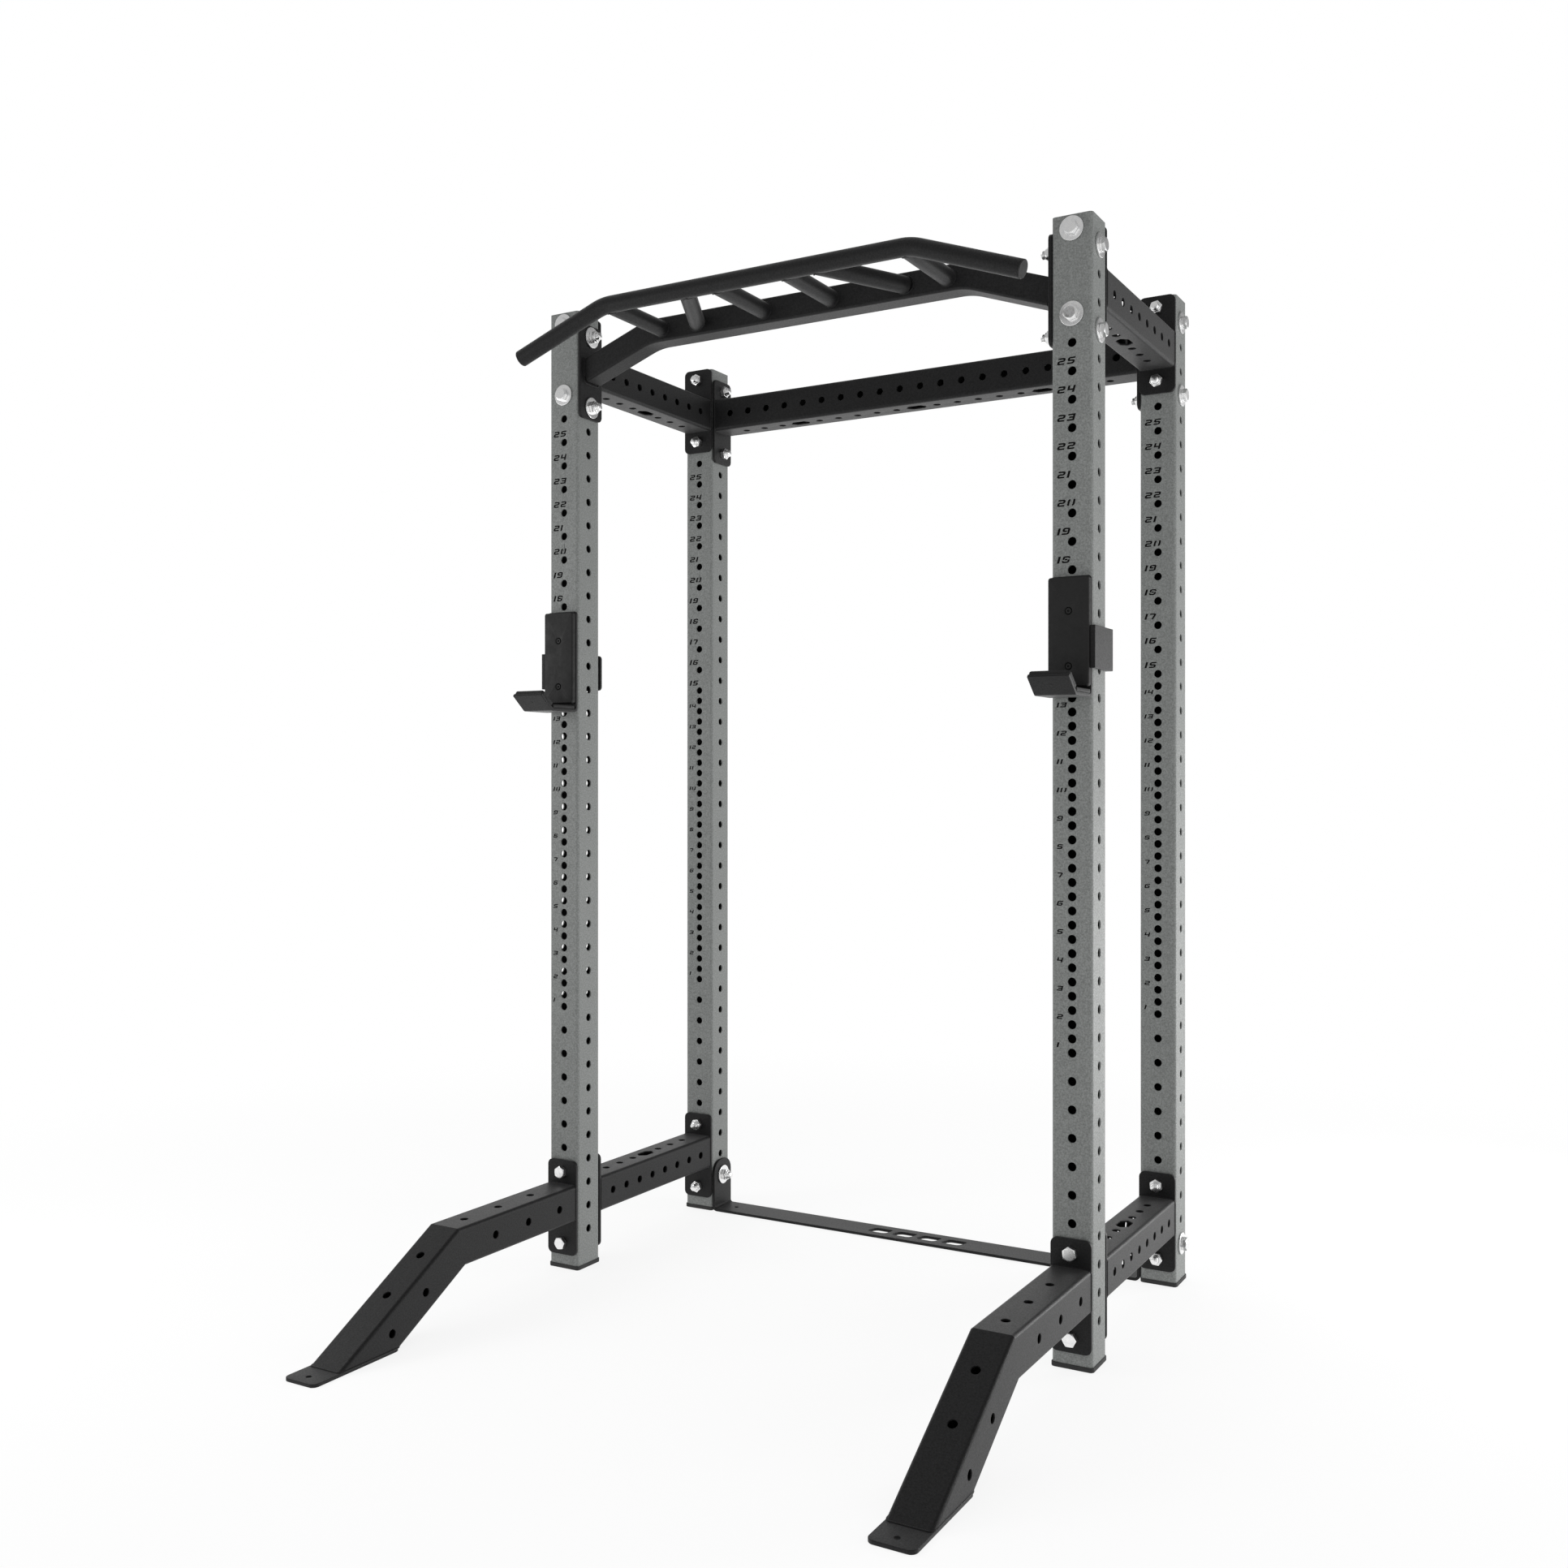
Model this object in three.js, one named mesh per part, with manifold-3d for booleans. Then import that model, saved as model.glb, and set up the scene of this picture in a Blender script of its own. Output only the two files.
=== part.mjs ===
// A half-depth power cage: four punched square uprights, bolted crossmembers, angled front feet,
// a welded multi-grip pull-up bar and a pair of swing-on bar cups.
// Units are millimetres. Z is up, -Y is the front, and X = 0 is the middle of the cage.
import * as THREE from "three";
import { mergeGeometries, mergeVertices } from "three/addons/utils/BufferGeometryUtils.js";
import Module from "manifold-3d";

// Driving dimensions.
const INCH = 25.4;
const GAP = 0.3; // air left between two separate pieces
const TUBE = 3 * INCH; // outside width of the square tube
const HALF = TUBE / 2;
const WALL = 3;
const CORNER = 7; // outside corner radius of the square tube
const UPRIGHT_X = 22.5 * INCH; // centre of the uprights, either side of the middle
const REAR_FRONT = 21 * INCH; // front face of the rear uprights; the front ones start at Y = 0
const FOOT_PAD = 0.25 * INCH; // the uprights stand on pads this thick
const UPRIGHT_LENGTH = 81 * INCH;
const PLATE = 0.25 * INCH; // thickness of every flat plate
const HOLE_R = 8.15; // wall radius of the 5/8 inch holes
const BOLT_R = 7.5;
const FLANGE_HEIGHT = 8 * INCH;
const FIRST_NUMBER = 22; // inches up the tube to the hole numbered 1
const NUMBERED = 26; // main holes, 2 inches apart
const CUP_HOLE = 17; // number of the hole that the bar cups hang from
const SIDE_BOLTS = [73, 79]; // inches up the tube
const FACE_BOLTS = [74, 80];
const FLOOR_BOLTS = [2, 8];
const SILL_BOLT = 3;
const CROSS_TOP = 76.5; // inches up the tube to the middle of the top crossmembers
const CROSS_BOTTOM = 5.5; // and of the bottom ones and the feet
const TOE = -740; // front edge of the feet
const SOLE_BACK = -530; // rear edge of a foot's floor plate
const KNEE_Y = -362.5; // where a foot's tube turns down
const LEG_SLOPE = THREE.MathUtils.degToRad(30);
const ANCHOR_R = 5; // floor anchor holes
const BOLT_HEAD = 10.2;
const WASHER = 3.4;
const WASHER_R = 0.875 * INCH;
const HEAD_R = 13.75; // hexagon corner radius
const NUT = 13.6;
const THREAD_TAIL = 9; // bolt that shows past the nut
const BAR_R = 16.7;
const BAR_Y = -172.5;
const BAR_Z = 1995.75;
const BAR_BEND_X = 336;
const BAR_END_X = 546.6;
const BAR_END_Z = 1919.3;
const BAR_BEND_R = 110;
const ARCH_BEND_X = 361;
const ARCH_BEND_R = 150;
const ARCH_DEPTH = 2 * INCH;
const ARCH_END_Z = FOOT_PAD + 76 * INCH;
const GRIPS = [[-324, -324], [-140, -236], [-76.5, -76.5], [76.5, 76.5], [140, 236], [324, 324]];
const SILL_ANCHOR_X = 487;
const SILL_WINDOWS = [-93, -31, 31, 93];
const CUP_TOP = 1416.5;
const CUP_FLOOR = 1200;
const CUP_BACK = -1;
const LINER = 7.75; // the pad in the hook and on the lip
const BACK_PAD = 12.7; // the pad on the back plate
const PAD_SCREWS = [1353.6, 1255.1]; // heights of the screws in the back pad
const HOOK_Y = -87; // where the hook turns up into the lip
const LIP_ANGLE = THREE.MathUtils.degToRad(40);
const SIDE_PLATE = 9.2; // thickness of the cup's plate beside the upright
const SIDE_PLATE_FRONT = -16;
const WRAP_ROOM = 0.8; // air between that plate and the upright

const holeHeight = (inches) => FOOT_PAD + inches * INCH;
const REAR_BACK = REAR_FRONT + TUBE;
const INNER_X = UPRIGHT_X - HALF;
const OUTER_X = UPRIGHT_X + HALF;
const CUP_PIN_Z = holeHeight(FIRST_NUMBER + 2 * (CUP_HOLE - 1));
const DEPTH_SHIFT = -(TOE + REAR_BACK + WASHER + BOLT_HEAD) / 2; // centres the cage on Y = 0

const finish = (color, metalness, roughness) =>
  new THREE.MeshStandardMaterial({ color, metalness, roughness });
const GREY_COAT = () => finish(0x7d827f, 0.1, 0.7);
const BLACK_COAT = () => finish(0x2b2b2c, 0.1, 0.75);
const ZINC = () => finish(0xd2d4d6, 0.9, 0.35);
const BLACK_PLASTIC = () => finish(0x1f2021, 0, 0.6);
const RUBBER = () => finish(0x232324, 0, 0.85);

const wasm = await Module();
wasm.setup();
const cage = new THREE.Group();
cage.name = "power_cage";
cage.position.y = DEPTH_SHIFT;

// A closed three.js geometry as a manifold-3d solid.
function solid(geometry) {
  const loose = geometry.index ? geometry.toNonIndexed() : geometry;
  const bare = new THREE.BufferGeometry();
  bare.setAttribute("position", loose.getAttribute("position"));
  const merged = mergeVertices(bare, 1e-4);
  const vertProperties = merged.getAttribute("position").array;
  const triVerts = new Uint32Array(merged.index.array);
  return new wasm.Manifold(new wasm.Mesh({ numProp: 3, vertProperties, triVerts }));
}

// Adds a finished solid to the cage as one named mesh.
function addPart(name, body, material) {
  const made = body.getMesh();
  const geometry = new THREE.BufferGeometry();
  const position = new THREE.BufferAttribute(new Float32Array(made.vertProperties), 3);
  geometry.setAttribute("position", position);
  geometry.setIndex(new THREE.BufferAttribute(new Uint32Array(made.triVerts), 1));
  geometry.computeVertexNormals();
  const mesh = new THREE.Mesh(geometry, material);
  mesh.name = name;
  cage.add(mesh);
}

function roundedRect(width, height, radius, steps) {
  const points = [];
  const signs = [[1, 1], [-1, 1], [-1, -1], [1, -1]];
  signs.forEach(([sx, sy], corner) => {
    for (let i = 0; i <= steps; i += 1) {
      const angle = (corner + i / steps) * (Math.PI / 2);
      const x = sx * (width / 2 - radius) + radius * Math.cos(angle);
      const y = sy * (height / 2 - radius) + radius * Math.sin(angle);
      points.push(new THREE.Vector2(x, y));
    }
  });
  return points;
}

function prism(points, length) {
  const options = { depth: length, bevelEnabled: false, steps: 1 };
  return new THREE.ExtrudeGeometry(new THREE.Shape(points), options);
}

const AXES = {
  // Outline x and y become world Y and Z, and the prism runs towards +X.
  x: [new THREE.Vector3(0, 1, 0), new THREE.Vector3(0, 0, 1), new THREE.Vector3(1, 0, 0)],
  // Outline x and y become world X and Z, and the prism runs towards -Y.
  y: [new THREE.Vector3(1, 0, 0), new THREE.Vector3(0, 0, 1), new THREE.Vector3(0, -1, 0)],
  z: [new THREE.Vector3(1, 0, 0), new THREE.Vector3(0, 1, 0), new THREE.Vector3(0, 0, 1)],
};

function along(axis, geometry, x, y, z) {
  const matrix = new THREE.Matrix4().makeBasis(...AXES[axis]);
  matrix.setPosition(x, y, z);
  return geometry.applyMatrix4(matrix);
}

// A solid of rounded rectangular section. Its low end is at x, y, z (its high end for axis y).
function block(axis, width, height, radius, steps, length, x, y, z) {
  return solid(along(axis, prism(roundedRect(width, height, radius, steps), length), x, y, z));
}

function box(low, high) {
  const size = high.map((value, i) => value - low[i]);
  const geometry = new THREE.BoxGeometry(...size);
  geometry.translate(...low.map((value, i) => value + size[i] / 2));
  return solid(geometry);
}

// A round cutter or rod centred on a point. The sides touch the true circle from outside.
function rod(axis, radius, length, sides, x, y, z) {
  const reach = radius / Math.cos(Math.PI / sides);
  const geometry = new THREE.CylinderGeometry(reach, reach, length, sides);
  geometry.rotateY(Math.PI / sides);
  if (axis === "x") geometry.rotateZ(Math.PI / 2);
  if (axis === "z") geometry.rotateX(Math.PI / 2);
  geometry.translate(x, y, z);
  return geometry;
}

const drills = (rods) => solid(mergeGeometries(rods));

// A strip of constant width about a line of points, as an outline.
function strip(line, half) {
  const left = [];
  const right = [];
  line.forEach((point, i) => {
    const before = line[Math.max(i - 1, 0)];
    const after = line[Math.min(i + 1, line.length - 1)];
    const into = point.clone().sub(i ? before : point);
    const out = after.clone().sub(i < line.length - 1 ? point : before);
    if (!i) into.copy(out);
    const normalIn = new THREE.Vector2(-into.y, into.x).normalize();
    const normalOut = new THREE.Vector2(-out.y, out.x).normalize();
    const middle = normalIn.clone().add(normalOut).normalize();
    const reach = half / middle.dot(normalOut);
    left.push(point.clone().addScaledVector(middle, reach));
    right.unshift(point.clone().addScaledVector(middle, -reach));
  });
  return right.concat(left);
}

// Rounds each inner corner of a line of points with an arc of the given radius.
function rounded(corners, radius, steps) {
  const line = [corners[0]];
  for (let i = 1; i < corners.length - 1; i += 1) {
    const corner = corners[i];
    const back = corners[i - 1].clone().sub(corner).normalize();
    const ahead = corners[i + 1].clone().sub(corner).normalize();
    const half = Math.acos(back.dot(ahead)) / 2;
    const run = radius / Math.tan(half);
    const start = corner.clone().addScaledVector(back, run);
    const bisector = back.clone().add(ahead).normalize();
    const centre = corner.clone().addScaledVector(bisector, radius / Math.sin(half));
    const spoke = start.clone().sub(centre);
    const turn = (Math.PI - 2 * half) * Math.sign(ahead.x * back.y - ahead.y * back.x);
    for (let k = 0; k <= steps; k += 1) {
      line.push(spoke.clone().rotateAround(new THREE.Vector2(), (turn * k) / steps).add(centre));
    }
  }
  line.push(corners[corners.length - 1]);
  return line;
}

const mirrored = (body) => body.mirror([1, 0, 0]);

// Uprights, with their numbered holes and bolt holes through both walls.
function upright(front, faceBolts, sideBolts) {
  const centre = front + HALF;
  const outer = block("z", TUBE, TUBE, CORNER, 3, UPRIGHT_LENGTH, UPRIGHT_X, centre, FOOT_PAD);
  const bore = TUBE - 2 * WALL;
  const low = FOOT_PAD - 1;
  const inner = block("z", bore, bore, CORNER - WALL, 2, UPRIGHT_LENGTH + 2, UPRIGHT_X, centre, low);
  const numbered = [];
  for (let i = 0; i < NUMBERED; i += 1) numbered.push(FIRST_NUMBER + 2 * i);
  const faceRods = numbered.concat(faceBolts).map((inches) =>
    rod("y", HOLE_R, TUBE + 2, 8, UPRIGHT_X, centre, holeHeight(inches)));
  const sideRods = sideBolts.map((inches) =>
    rod("x", HOLE_R, TUBE + 2, 8, UPRIGHT_X, centre, holeHeight(inches)));
  return outer.subtract(inner).subtract(drills(faceRods)).subtract(drills(sideRods));
}

// A pad under an upright: base, a low rim round the tube and a plug inside it.
// The rear pads are flush on the inner side, where the sill stands against the upright.
function footPad(front, flushInside) {
  const centre = front + HALF;
  const wide = TUBE + 3.6;
  const base = block("z", wide, wide, 7.5, 3, 8.8, UPRIGHT_X, centre, 0);
  const seat = TUBE + 2 * GAP;
  const pocket = block("z", seat, seat, CORNER, 3, 20, UPRIGHT_X, centre, FOOT_PAD - GAP);
  const plugWide = TUBE - 2 * WALL - 2 * GAP;
  const plug = block("z", plugWide, plugWide, 4, 2, 20, UPRIGHT_X, centre, 3);
  const whole = base.subtract(pocket).add(plug);
  const inside = box([INNER_X - 20, centre - 60, -1], [INNER_X, centre + 60, 40]);
  return flushInside ? whole.subtract(inside) : whole;
}

// An insert that closes the top of an upright, flush with its end.
function topPlug(front) {
  const wide = TUBE - 2 * WALL - 2 * GAP;
  const height = 12;
  const low = FOOT_PAD + UPRIGHT_LENGTH - height;
  return block("z", wide, wide, 4, 2, height, UPRIGHT_X, front + HALF, low);
}

// A bolt with its washers and nut. Local +Z runs from the head towards the nut.
function boltSet(grip, headWasher, nutWasher) {
  const head = headWasher ? WASHER : 0;
  const tail = nutWasher ? WASHER : 0;
  const end = grip + GAP + tail + NUT + THREAD_TAIL;
  const disc = (radius, sides, low, high) => {
    const part = new THREE.CylinderGeometry(radius, radius, high - low, sides);
    part.rotateX(Math.PI / 2);
    part.translate(0, 0, (low + high) / 2);
    return solid(part);
  };
  let body = disc(BOLT_R, 8, -GAP - head - BOLT_HEAD / 2, end);
  body = body.add(disc(HEAD_R, 6, -GAP - head - BOLT_HEAD, -GAP - head));
  body = body.add(disc(HEAD_R, 6, grip + GAP + tail, grip + GAP + tail + NUT));
  if (headWasher) body = body.add(disc(WASHER_R, 14, -GAP - head - 0.01, -GAP));
  if (nutWasher) body = body.add(disc(WASHER_R, 14, grip + GAP, grip + GAP + tail + 0.01));
  return body;
}

// Bolts run inwards along X from an outer face, or backwards or forwards along Y.
function placeBolt(name, side, heading, set, x, y, z) {
  const turned = heading === "x" ? [0, -90, 0] : [heading === "back" ? -90 : 90, 0, 0];
  const body = set.rotate(turned).translate([x, y, z]);
  addPart(name, side < 0 ? mirrored(body) : body, ZINC());
}

const flange = (axis, x, y, z) => block(axis, TUBE, FLANGE_HEIGHT, 12, 3, PLATE, x, y, z);

// A crossmember from the front uprights to the rear ones.
function sideCrossmember(tubeInches, bolts) {
  const low = TUBE + GAP;
  const high = REAR_FRONT - GAP;
  const tubeZ = holeHeight(tubeInches);
  const flangeZ = holeHeight((bolts[0] + bolts[1]) / 2);
  const length = high - low;
  const tube = block("y", TUBE, TUBE, CORNER, 2, length, UPRIGHT_X, high, tubeZ);
  const inside = TUBE - 2 * WALL;
  const coreEnd = high - PLATE;
  const core = block("y", inside, inside, 4, 1, length - 2 * PLATE, UPRIGHT_X, coreEnd, tubeZ);
  const frontPlate = flange("y", UPRIGHT_X, low + PLATE, flangeZ);
  const rearPlate = flange("y", UPRIGHT_X, high, flangeZ);
  const middle = (TUBE + REAR_FRONT) / 2;
  const sideHoles = [];
  for (let i = 0; i < 8; i += 1) {
    sideHoles.push(rod("x", HOLE_R, TUBE + 2, 6, UPRIGHT_X, middle + (i - 3.5) * 2 * INCH, tubeZ));
  }
  const boltHoles = bolts.map((inches) =>
    rod("y", HOLE_R, length + 2, 8, UPRIGHT_X, middle, holeHeight(inches)));
  const body = tube.add(frontPlate).add(rearPlate).subtract(core);
  return body.subtract(drills(sideHoles)).subtract(drills(boltHoles));
}

// The crossmember between the tops of the rear uprights.
function rearCrossmember() {
  const reach = INNER_X - GAP;
  const middle = REAR_FRONT + HALF;
  const tubeZ = holeHeight(CROSS_TOP);
  const flangeZ = holeHeight(76);
  const tube = block("x", TUBE, TUBE, CORNER, 2, 2 * reach, -reach, middle, tubeZ);
  const inside = TUBE - 2 * WALL;
  const coreReach = reach - PLATE;
  const core = block("x", inside, inside, 4, 1, 2 * coreReach, -coreReach, middle, tubeZ);
  const left = flange("x", -reach, middle, flangeZ);
  const right = flange("x", reach - PLATE, middle, flangeZ);
  const faceHoles = [];
  for (let i = 0; i < 20; i += 1) {
    faceHoles.push(rod("y", HOLE_R, TUBE + 2, 6, (i - 9.5) * 2 * INCH, middle, tubeZ));
  }
  const boltHoles = SIDE_BOLTS.map((inches) =>
    rod("x", HOLE_R, 2 * reach + 2, 8, 0, middle, holeHeight(inches)));
  const body = tube.add(left).add(right).subtract(core);
  return body.subtract(drills(faceHoles)).subtract(drills(boltHoles));
}

// A front foot: bolted flange, level tube, mitred sloping leg and floor plate.
function frontFoot() {
  const tubeZ = holeHeight(CROSS_BOTTOM);
  const leg = 420;
  const legEndY = KNEE_Y - leg * Math.cos(LEG_SLOPE);
  const legEnd = new THREE.Vector2(legEndY, tubeZ - leg * Math.sin(LEG_SLOPE));
  const line = [new THREE.Vector2(20, tubeZ), new THREE.Vector2(KNEE_Y, tubeZ), legEnd];
  const faceY = -GAP - PLATE;
  const bevel = { bevelEnabled: true, bevelThickness: CORNER, bevelSize: CORNER };
  const options = { depth: TUBE - 2 * CORNER, bevelOffset: -CORNER, bevelSegments: 2, steps: 1 };
  const outline = new THREE.Shape(strip(line, HALF));
  const tube = new THREE.ExtrudeGeometry(outline, { ...options, ...bevel });
  const outer = solid(along("x", tube, INNER_X + CORNER, 0, 0));
  const bore = prism(strip(line, HALF - WALL), TUBE - 2 * WALL);
  const inner = solid(along("x", bore, INNER_X + WALL, 0, 0));
  const room = (lap) => box([INNER_X - 5, -900, PLATE - lap], [OUTER_X + 5, faceY + lap, 300]);
  const shell = outer.intersect(room(1)).subtract(inner.intersect(room(0)));
  const plate = flange("y", UPRIGHT_X, -GAP, holeHeight(5));
  const soleLength = SOLE_BACK - TOE;
  const sole = block("z", TUBE, soleLength, 12, 3, PLATE, UPRIGHT_X, TOE + soleLength / 2, 0);
  const sideHoles = [-62.2, -163.8, -265.4].map((y) =>
    rod("x", HOLE_R, TUBE + 2, 8, UPRIGHT_X, y, tubeZ));
  [[-463.6, 87.6], [-551.6, 36.8]].forEach(([y, z]) => {
    sideHoles.push(rod("x", HOLE_R, TUBE + 2, 8, UPRIGHT_X, y, z));
  });
  const flangeHoles = FLOOR_BOLTS.map((inches) =>
    rod("y", HOLE_R, 20, 8, UPRIGHT_X, 0, holeHeight(inches)));
  const anchor = rod("z", ANCHOR_R, 20, 8, UPRIGHT_X, TOE + 24, 0);
  const body = shell.add(plate).add(sole);
  return body.subtract(drills(sideHoles)).subtract(drills(flangeHoles)).subtract(solid(anchor));
}

// A line of points that ExtrudeGeometry follows with one section at each point.
class PointPath extends THREE.Curve {
  constructor(points) {
    super();
    this.points = points;
  }
  getPoint(t) {
    const place = t * (this.points.length - 1);
    const from = Math.min(Math.floor(place + 1e-9), this.points.length - 2);
    return this.points[from].clone().lerp(this.points[from + 1], place - from);
  }
  getPointAt(u) {
    return this.getPoint(u);
  }
  getTangentAt(u) {
    const last = this.points.length - 1;
    const at = Math.round(u * last);
    const into = this.points[Math.max(at, 1)].clone().sub(this.points[Math.max(at - 1, 0)]);
    const next = Math.min(at + 1, last);
    const out = this.points[next].clone().sub(this.points[next - 1]);
    return into.normalize().add(out.normalize()).normalize();
  }
}

function roundBar(line, radius, sides) {
  const points = line.map((point) => new THREE.Vector3(point.x, BAR_Y, point.y));
  const section = [];
  for (let i = 0; i < sides; i += 1) {
    const angle = (i * 2 * Math.PI) / sides;
    section.push(new THREE.Vector2(radius * Math.cos(angle), radius * Math.sin(angle)));
  }
  const options = { steps: points.length - 1, extrudePath: new PointPath(points) };
  const geometry = new THREE.ExtrudeGeometry(new THREE.Shape(section), options);
  const made = solid(geometry);
  if (made.volume() < 0) throw new Error("the bar section runs the wrong way round");
  return made;
}

// A straight round grip from the bar back to the arched tube, both at the same height.
function rung(barX, archX, radius, sides, backY) {
  const run = new THREE.Vector3(archX - barX, HALF - ARCH_DEPTH / 2 - BAR_Y, 0);
  const length = (run.length() * (backY - BAR_Y)) / run.y;
  const geometry = new THREE.CylinderGeometry(radius, radius, length, sides);
  geometry.translate(0, length / 2, 0);
  const turn = new THREE.Quaternion().setFromUnitVectors(new THREE.Vector3(0, 1, 0), run.normalize());
  geometry.applyQuaternion(turn);
  geometry.translate(barX, BAR_Y, BAR_Z);
  return solid(geometry);
}

// The pull-up bar weldment: end plates, arched square tube, bent round bar and six grips.
function pullUpBar() {
  const plateReach = INNER_X - GAP;
  const faceX = plateReach - PLATE;
  const at = (x, z) => new THREE.Vector2(x, z);
  const bend = (x) => at(x, BAR_Z);
  const rise = (BAR_Z - ARCH_END_Z) / (faceX - ARCH_BEND_X);
  const past = 20;
  const archEnds = [at(-faceX - past, ARCH_END_Z - past * rise), at(faceX + past, ARCH_END_Z - past * rise)];
  const archCorners = [archEnds[0], bend(-ARCH_BEND_X), bend(ARCH_BEND_X), archEnds[1]];
  const archLine = rounded(archCorners, ARCH_BEND_R, 4);
  const slopeDown = at(BAR_END_X, BAR_END_Z).sub(bend(BAR_BEND_X)).normalize();
  const barLine = (past) => {
    const end = at(BAR_END_X, BAR_END_Z).addScaledVector(slopeDown, past);
    return rounded([at(-end.x, end.y), bend(-BAR_BEND_X), bend(BAR_BEND_X), end], BAR_BEND_R, 4);
  };

  const edge = 4;
  const bevel = { bevelEnabled: true, bevelThickness: edge, bevelSize: edge, bevelOffset: -edge };
  const options = { depth: ARCH_DEPTH - 2 * edge, bevelSegments: 1, steps: 1, ...bevel };
  const half = ARCH_DEPTH / 2;
  const tube = new THREE.ExtrudeGeometry(new THREE.Shape(strip(archLine, half)), options);
  const archFront = HALF - half;
  const archBack = HALF + half;
  const arch = solid(along("y", tube, 0, archBack - edge, 0));
  const boreLength = ARCH_DEPTH - 2 * WALL;
  const bore = solid(along("y", prism(strip(archLine, half - WALL), boreLength), 0, archBack - WALL, 0));
  const between = (lap) => box([-faceX - lap, -300, 1700], [faceX + lap, 300, 2100]);

  let outer = roundBar(barLine(-3.5), BAR_R, 14);
  let inner = roundBar(barLine(2), BAR_R - WALL, 14);
  outer = outer.add(arch.intersect(between(1)));
  inner = inner.add(bore.intersect(between(0)));
  GRIPS.forEach(([barX, archX]) => {
    outer = outer.add(rung(barX, archX, BAR_R, 12, archFront + 1));
    inner = inner.add(rung(barX, archX, BAR_R - WALL, 8, archFront + WALL + 1));
  });
  const left = flange("x", -plateReach, HALF, ARCH_END_Z);
  const right = flange("x", faceX, HALF, ARCH_END_Z);
  const boltHoles = SIDE_BOLTS.flatMap((inches) => [-1, 1].map((side) =>
    rod("x", HOLE_R, 20, 8, side * INNER_X, HALF, holeHeight(inches))));
  return outer.subtract(inner).add(left).add(right).subtract(drills(boltHoles));
}

// A plug in an end of the round bar, with a head as wide as the bar.
function barPlug() {
  const slope = Math.atan2(BAR_Z - BAR_END_Z, BAR_END_X - BAR_BEND_X);
  const stem = BAR_R - WALL - 1;
  const profile = [[0, 0], [BAR_R, 0], [BAR_R, 3.2], [stem, 3.2], [stem, 22], [0, 22]];
  const points = profile.map(([r, z]) => new THREE.Vector2(r, z));
  const geometry = new THREE.LatheGeometry(points, 14);
  geometry.rotateX(Math.PI / 2);
  geometry.rotateY(slope - Math.PI / 2);
  geometry.translate(BAR_END_X, BAR_Y, BAR_END_Z);
  return solid(geometry);
}

// The sill between the rear uprights: a flat bar on the floor with a bolted tab at each end.
function sill() {
  const reach = INNER_X - GAP;
  const top = holeHeight(SILL_BOLT) + HALF;
  const half = PLATE / 2;
  const corners = [[-reach + half, top], [-reach + half, half], [reach - half, half], [reach - half, top]];
  const line = rounded(corners.map(([x, z]) => new THREE.Vector2(x, z)), 9, 3);
  const body = solid(along("y", prism(strip(line, half), TUBE), 0, REAR_BACK, 0));
  const middle = REAR_FRONT + HALF;
  const tabs = block("x", TUBE, 300, 30, 4, 2 * reach + 2, -reach - 1, middle, top - 150);
  const bolts = solid(rod("x", HOLE_R, 2 * reach + 2, 8, 0, middle, holeHeight(SILL_BOLT)));
  const anchors = drills([-1, 1].map((side) =>
    rod("z", ANCHOR_R, 20, 8, side * SILL_ANCHOR_X, middle, 0)));
  const windows = SILL_WINDOWS.map((x) => {
    const lean = new THREE.Matrix4().makeShear(0, 0, 0.35, 0, 0, 0);
    const slot = prism(roundedRect(46, 30, 8, 2), 20).applyMatrix4(lean);
    return slot.translate(x, middle, -5);
  });
  return body.intersect(tabs).subtract(bolts).subtract(anchors).subtract(drills(windows));
}

// The steel of a bar cup: back plate, hook, lip, wrap-round bracket and hanging pin.
function cupSteel() {
  const half = PLATE / 2;
  const hookY = HOOK_Y + half * Math.tan(LIP_ANGLE / 2);
  const lipLength = 47 - half;
  const lipY = hookY - (lipLength + half) * Math.cos(LIP_ANGLE);
  const lipZ = CUP_FLOOR + half + (lipLength + half) * Math.sin(LIP_ANGLE);
  const plateY = CUP_BACK - half;
  const corners = [[plateY, CUP_TOP], [plateY, CUP_FLOOR + half], [hookY, CUP_FLOOR + half], [lipY, lipZ]];
  const line = rounded(corners.map(([y, z]) => new THREE.Vector2(y, z)), 7, 3);
  const hook = solid(along("x", prism(strip(line, half), TUBE), INNER_X, 0, 0));
  const tall = block("y", TUBE, 600, 6, 3, 300, UPRIGHT_X, 50, CUP_TOP - 300);
  const wrapLow = holeHeight(49);
  const wrapX = OUTER_X + WRAP_ROOM + SIDE_PLATE;
  const wrapY = TUBE + 8.7;
  const frontY = CUP_BACK - PLATE;
  const side = box([wrapX - SIDE_PLATE, SIDE_PLATE_FRONT, wrapLow], [wrapX, wrapY, wrapLow + TUBE]);
  const bridge = box([OUTER_X - 1, frontY, wrapLow], [wrapX - 1, CUP_BACK, wrapLow + TUBE]);
  const tailLength = wrapX - INNER_X + WRAP_ROOM;
  const tailX = wrapX - tailLength / 2;
  const tailZ = wrapLow + HALF;
  const tail = block("y", tailLength, TUBE, 8, 3, PLATE, tailX, wrapY, tailZ);
  const squareEnd = box([OUTER_X - 20, wrapY - PLATE, wrapLow], [wrapX, wrapY, wrapLow + TUBE]);
  const pin = solid(rod("y", BOLT_R - 0.6, 50, 10, UPRIGHT_X, 25 + CUP_BACK - 2, CUP_PIN_Z));
  const screws = drills(PAD_SCREWS.map((z) => rod("y", 3.3, 60, 8, UPRIGHT_X, frontY, z)));
  return hook.intersect(tall).subtract(screws).add(side).add(bridge).add(tail).add(squareEnd).add(pin);
}

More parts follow.
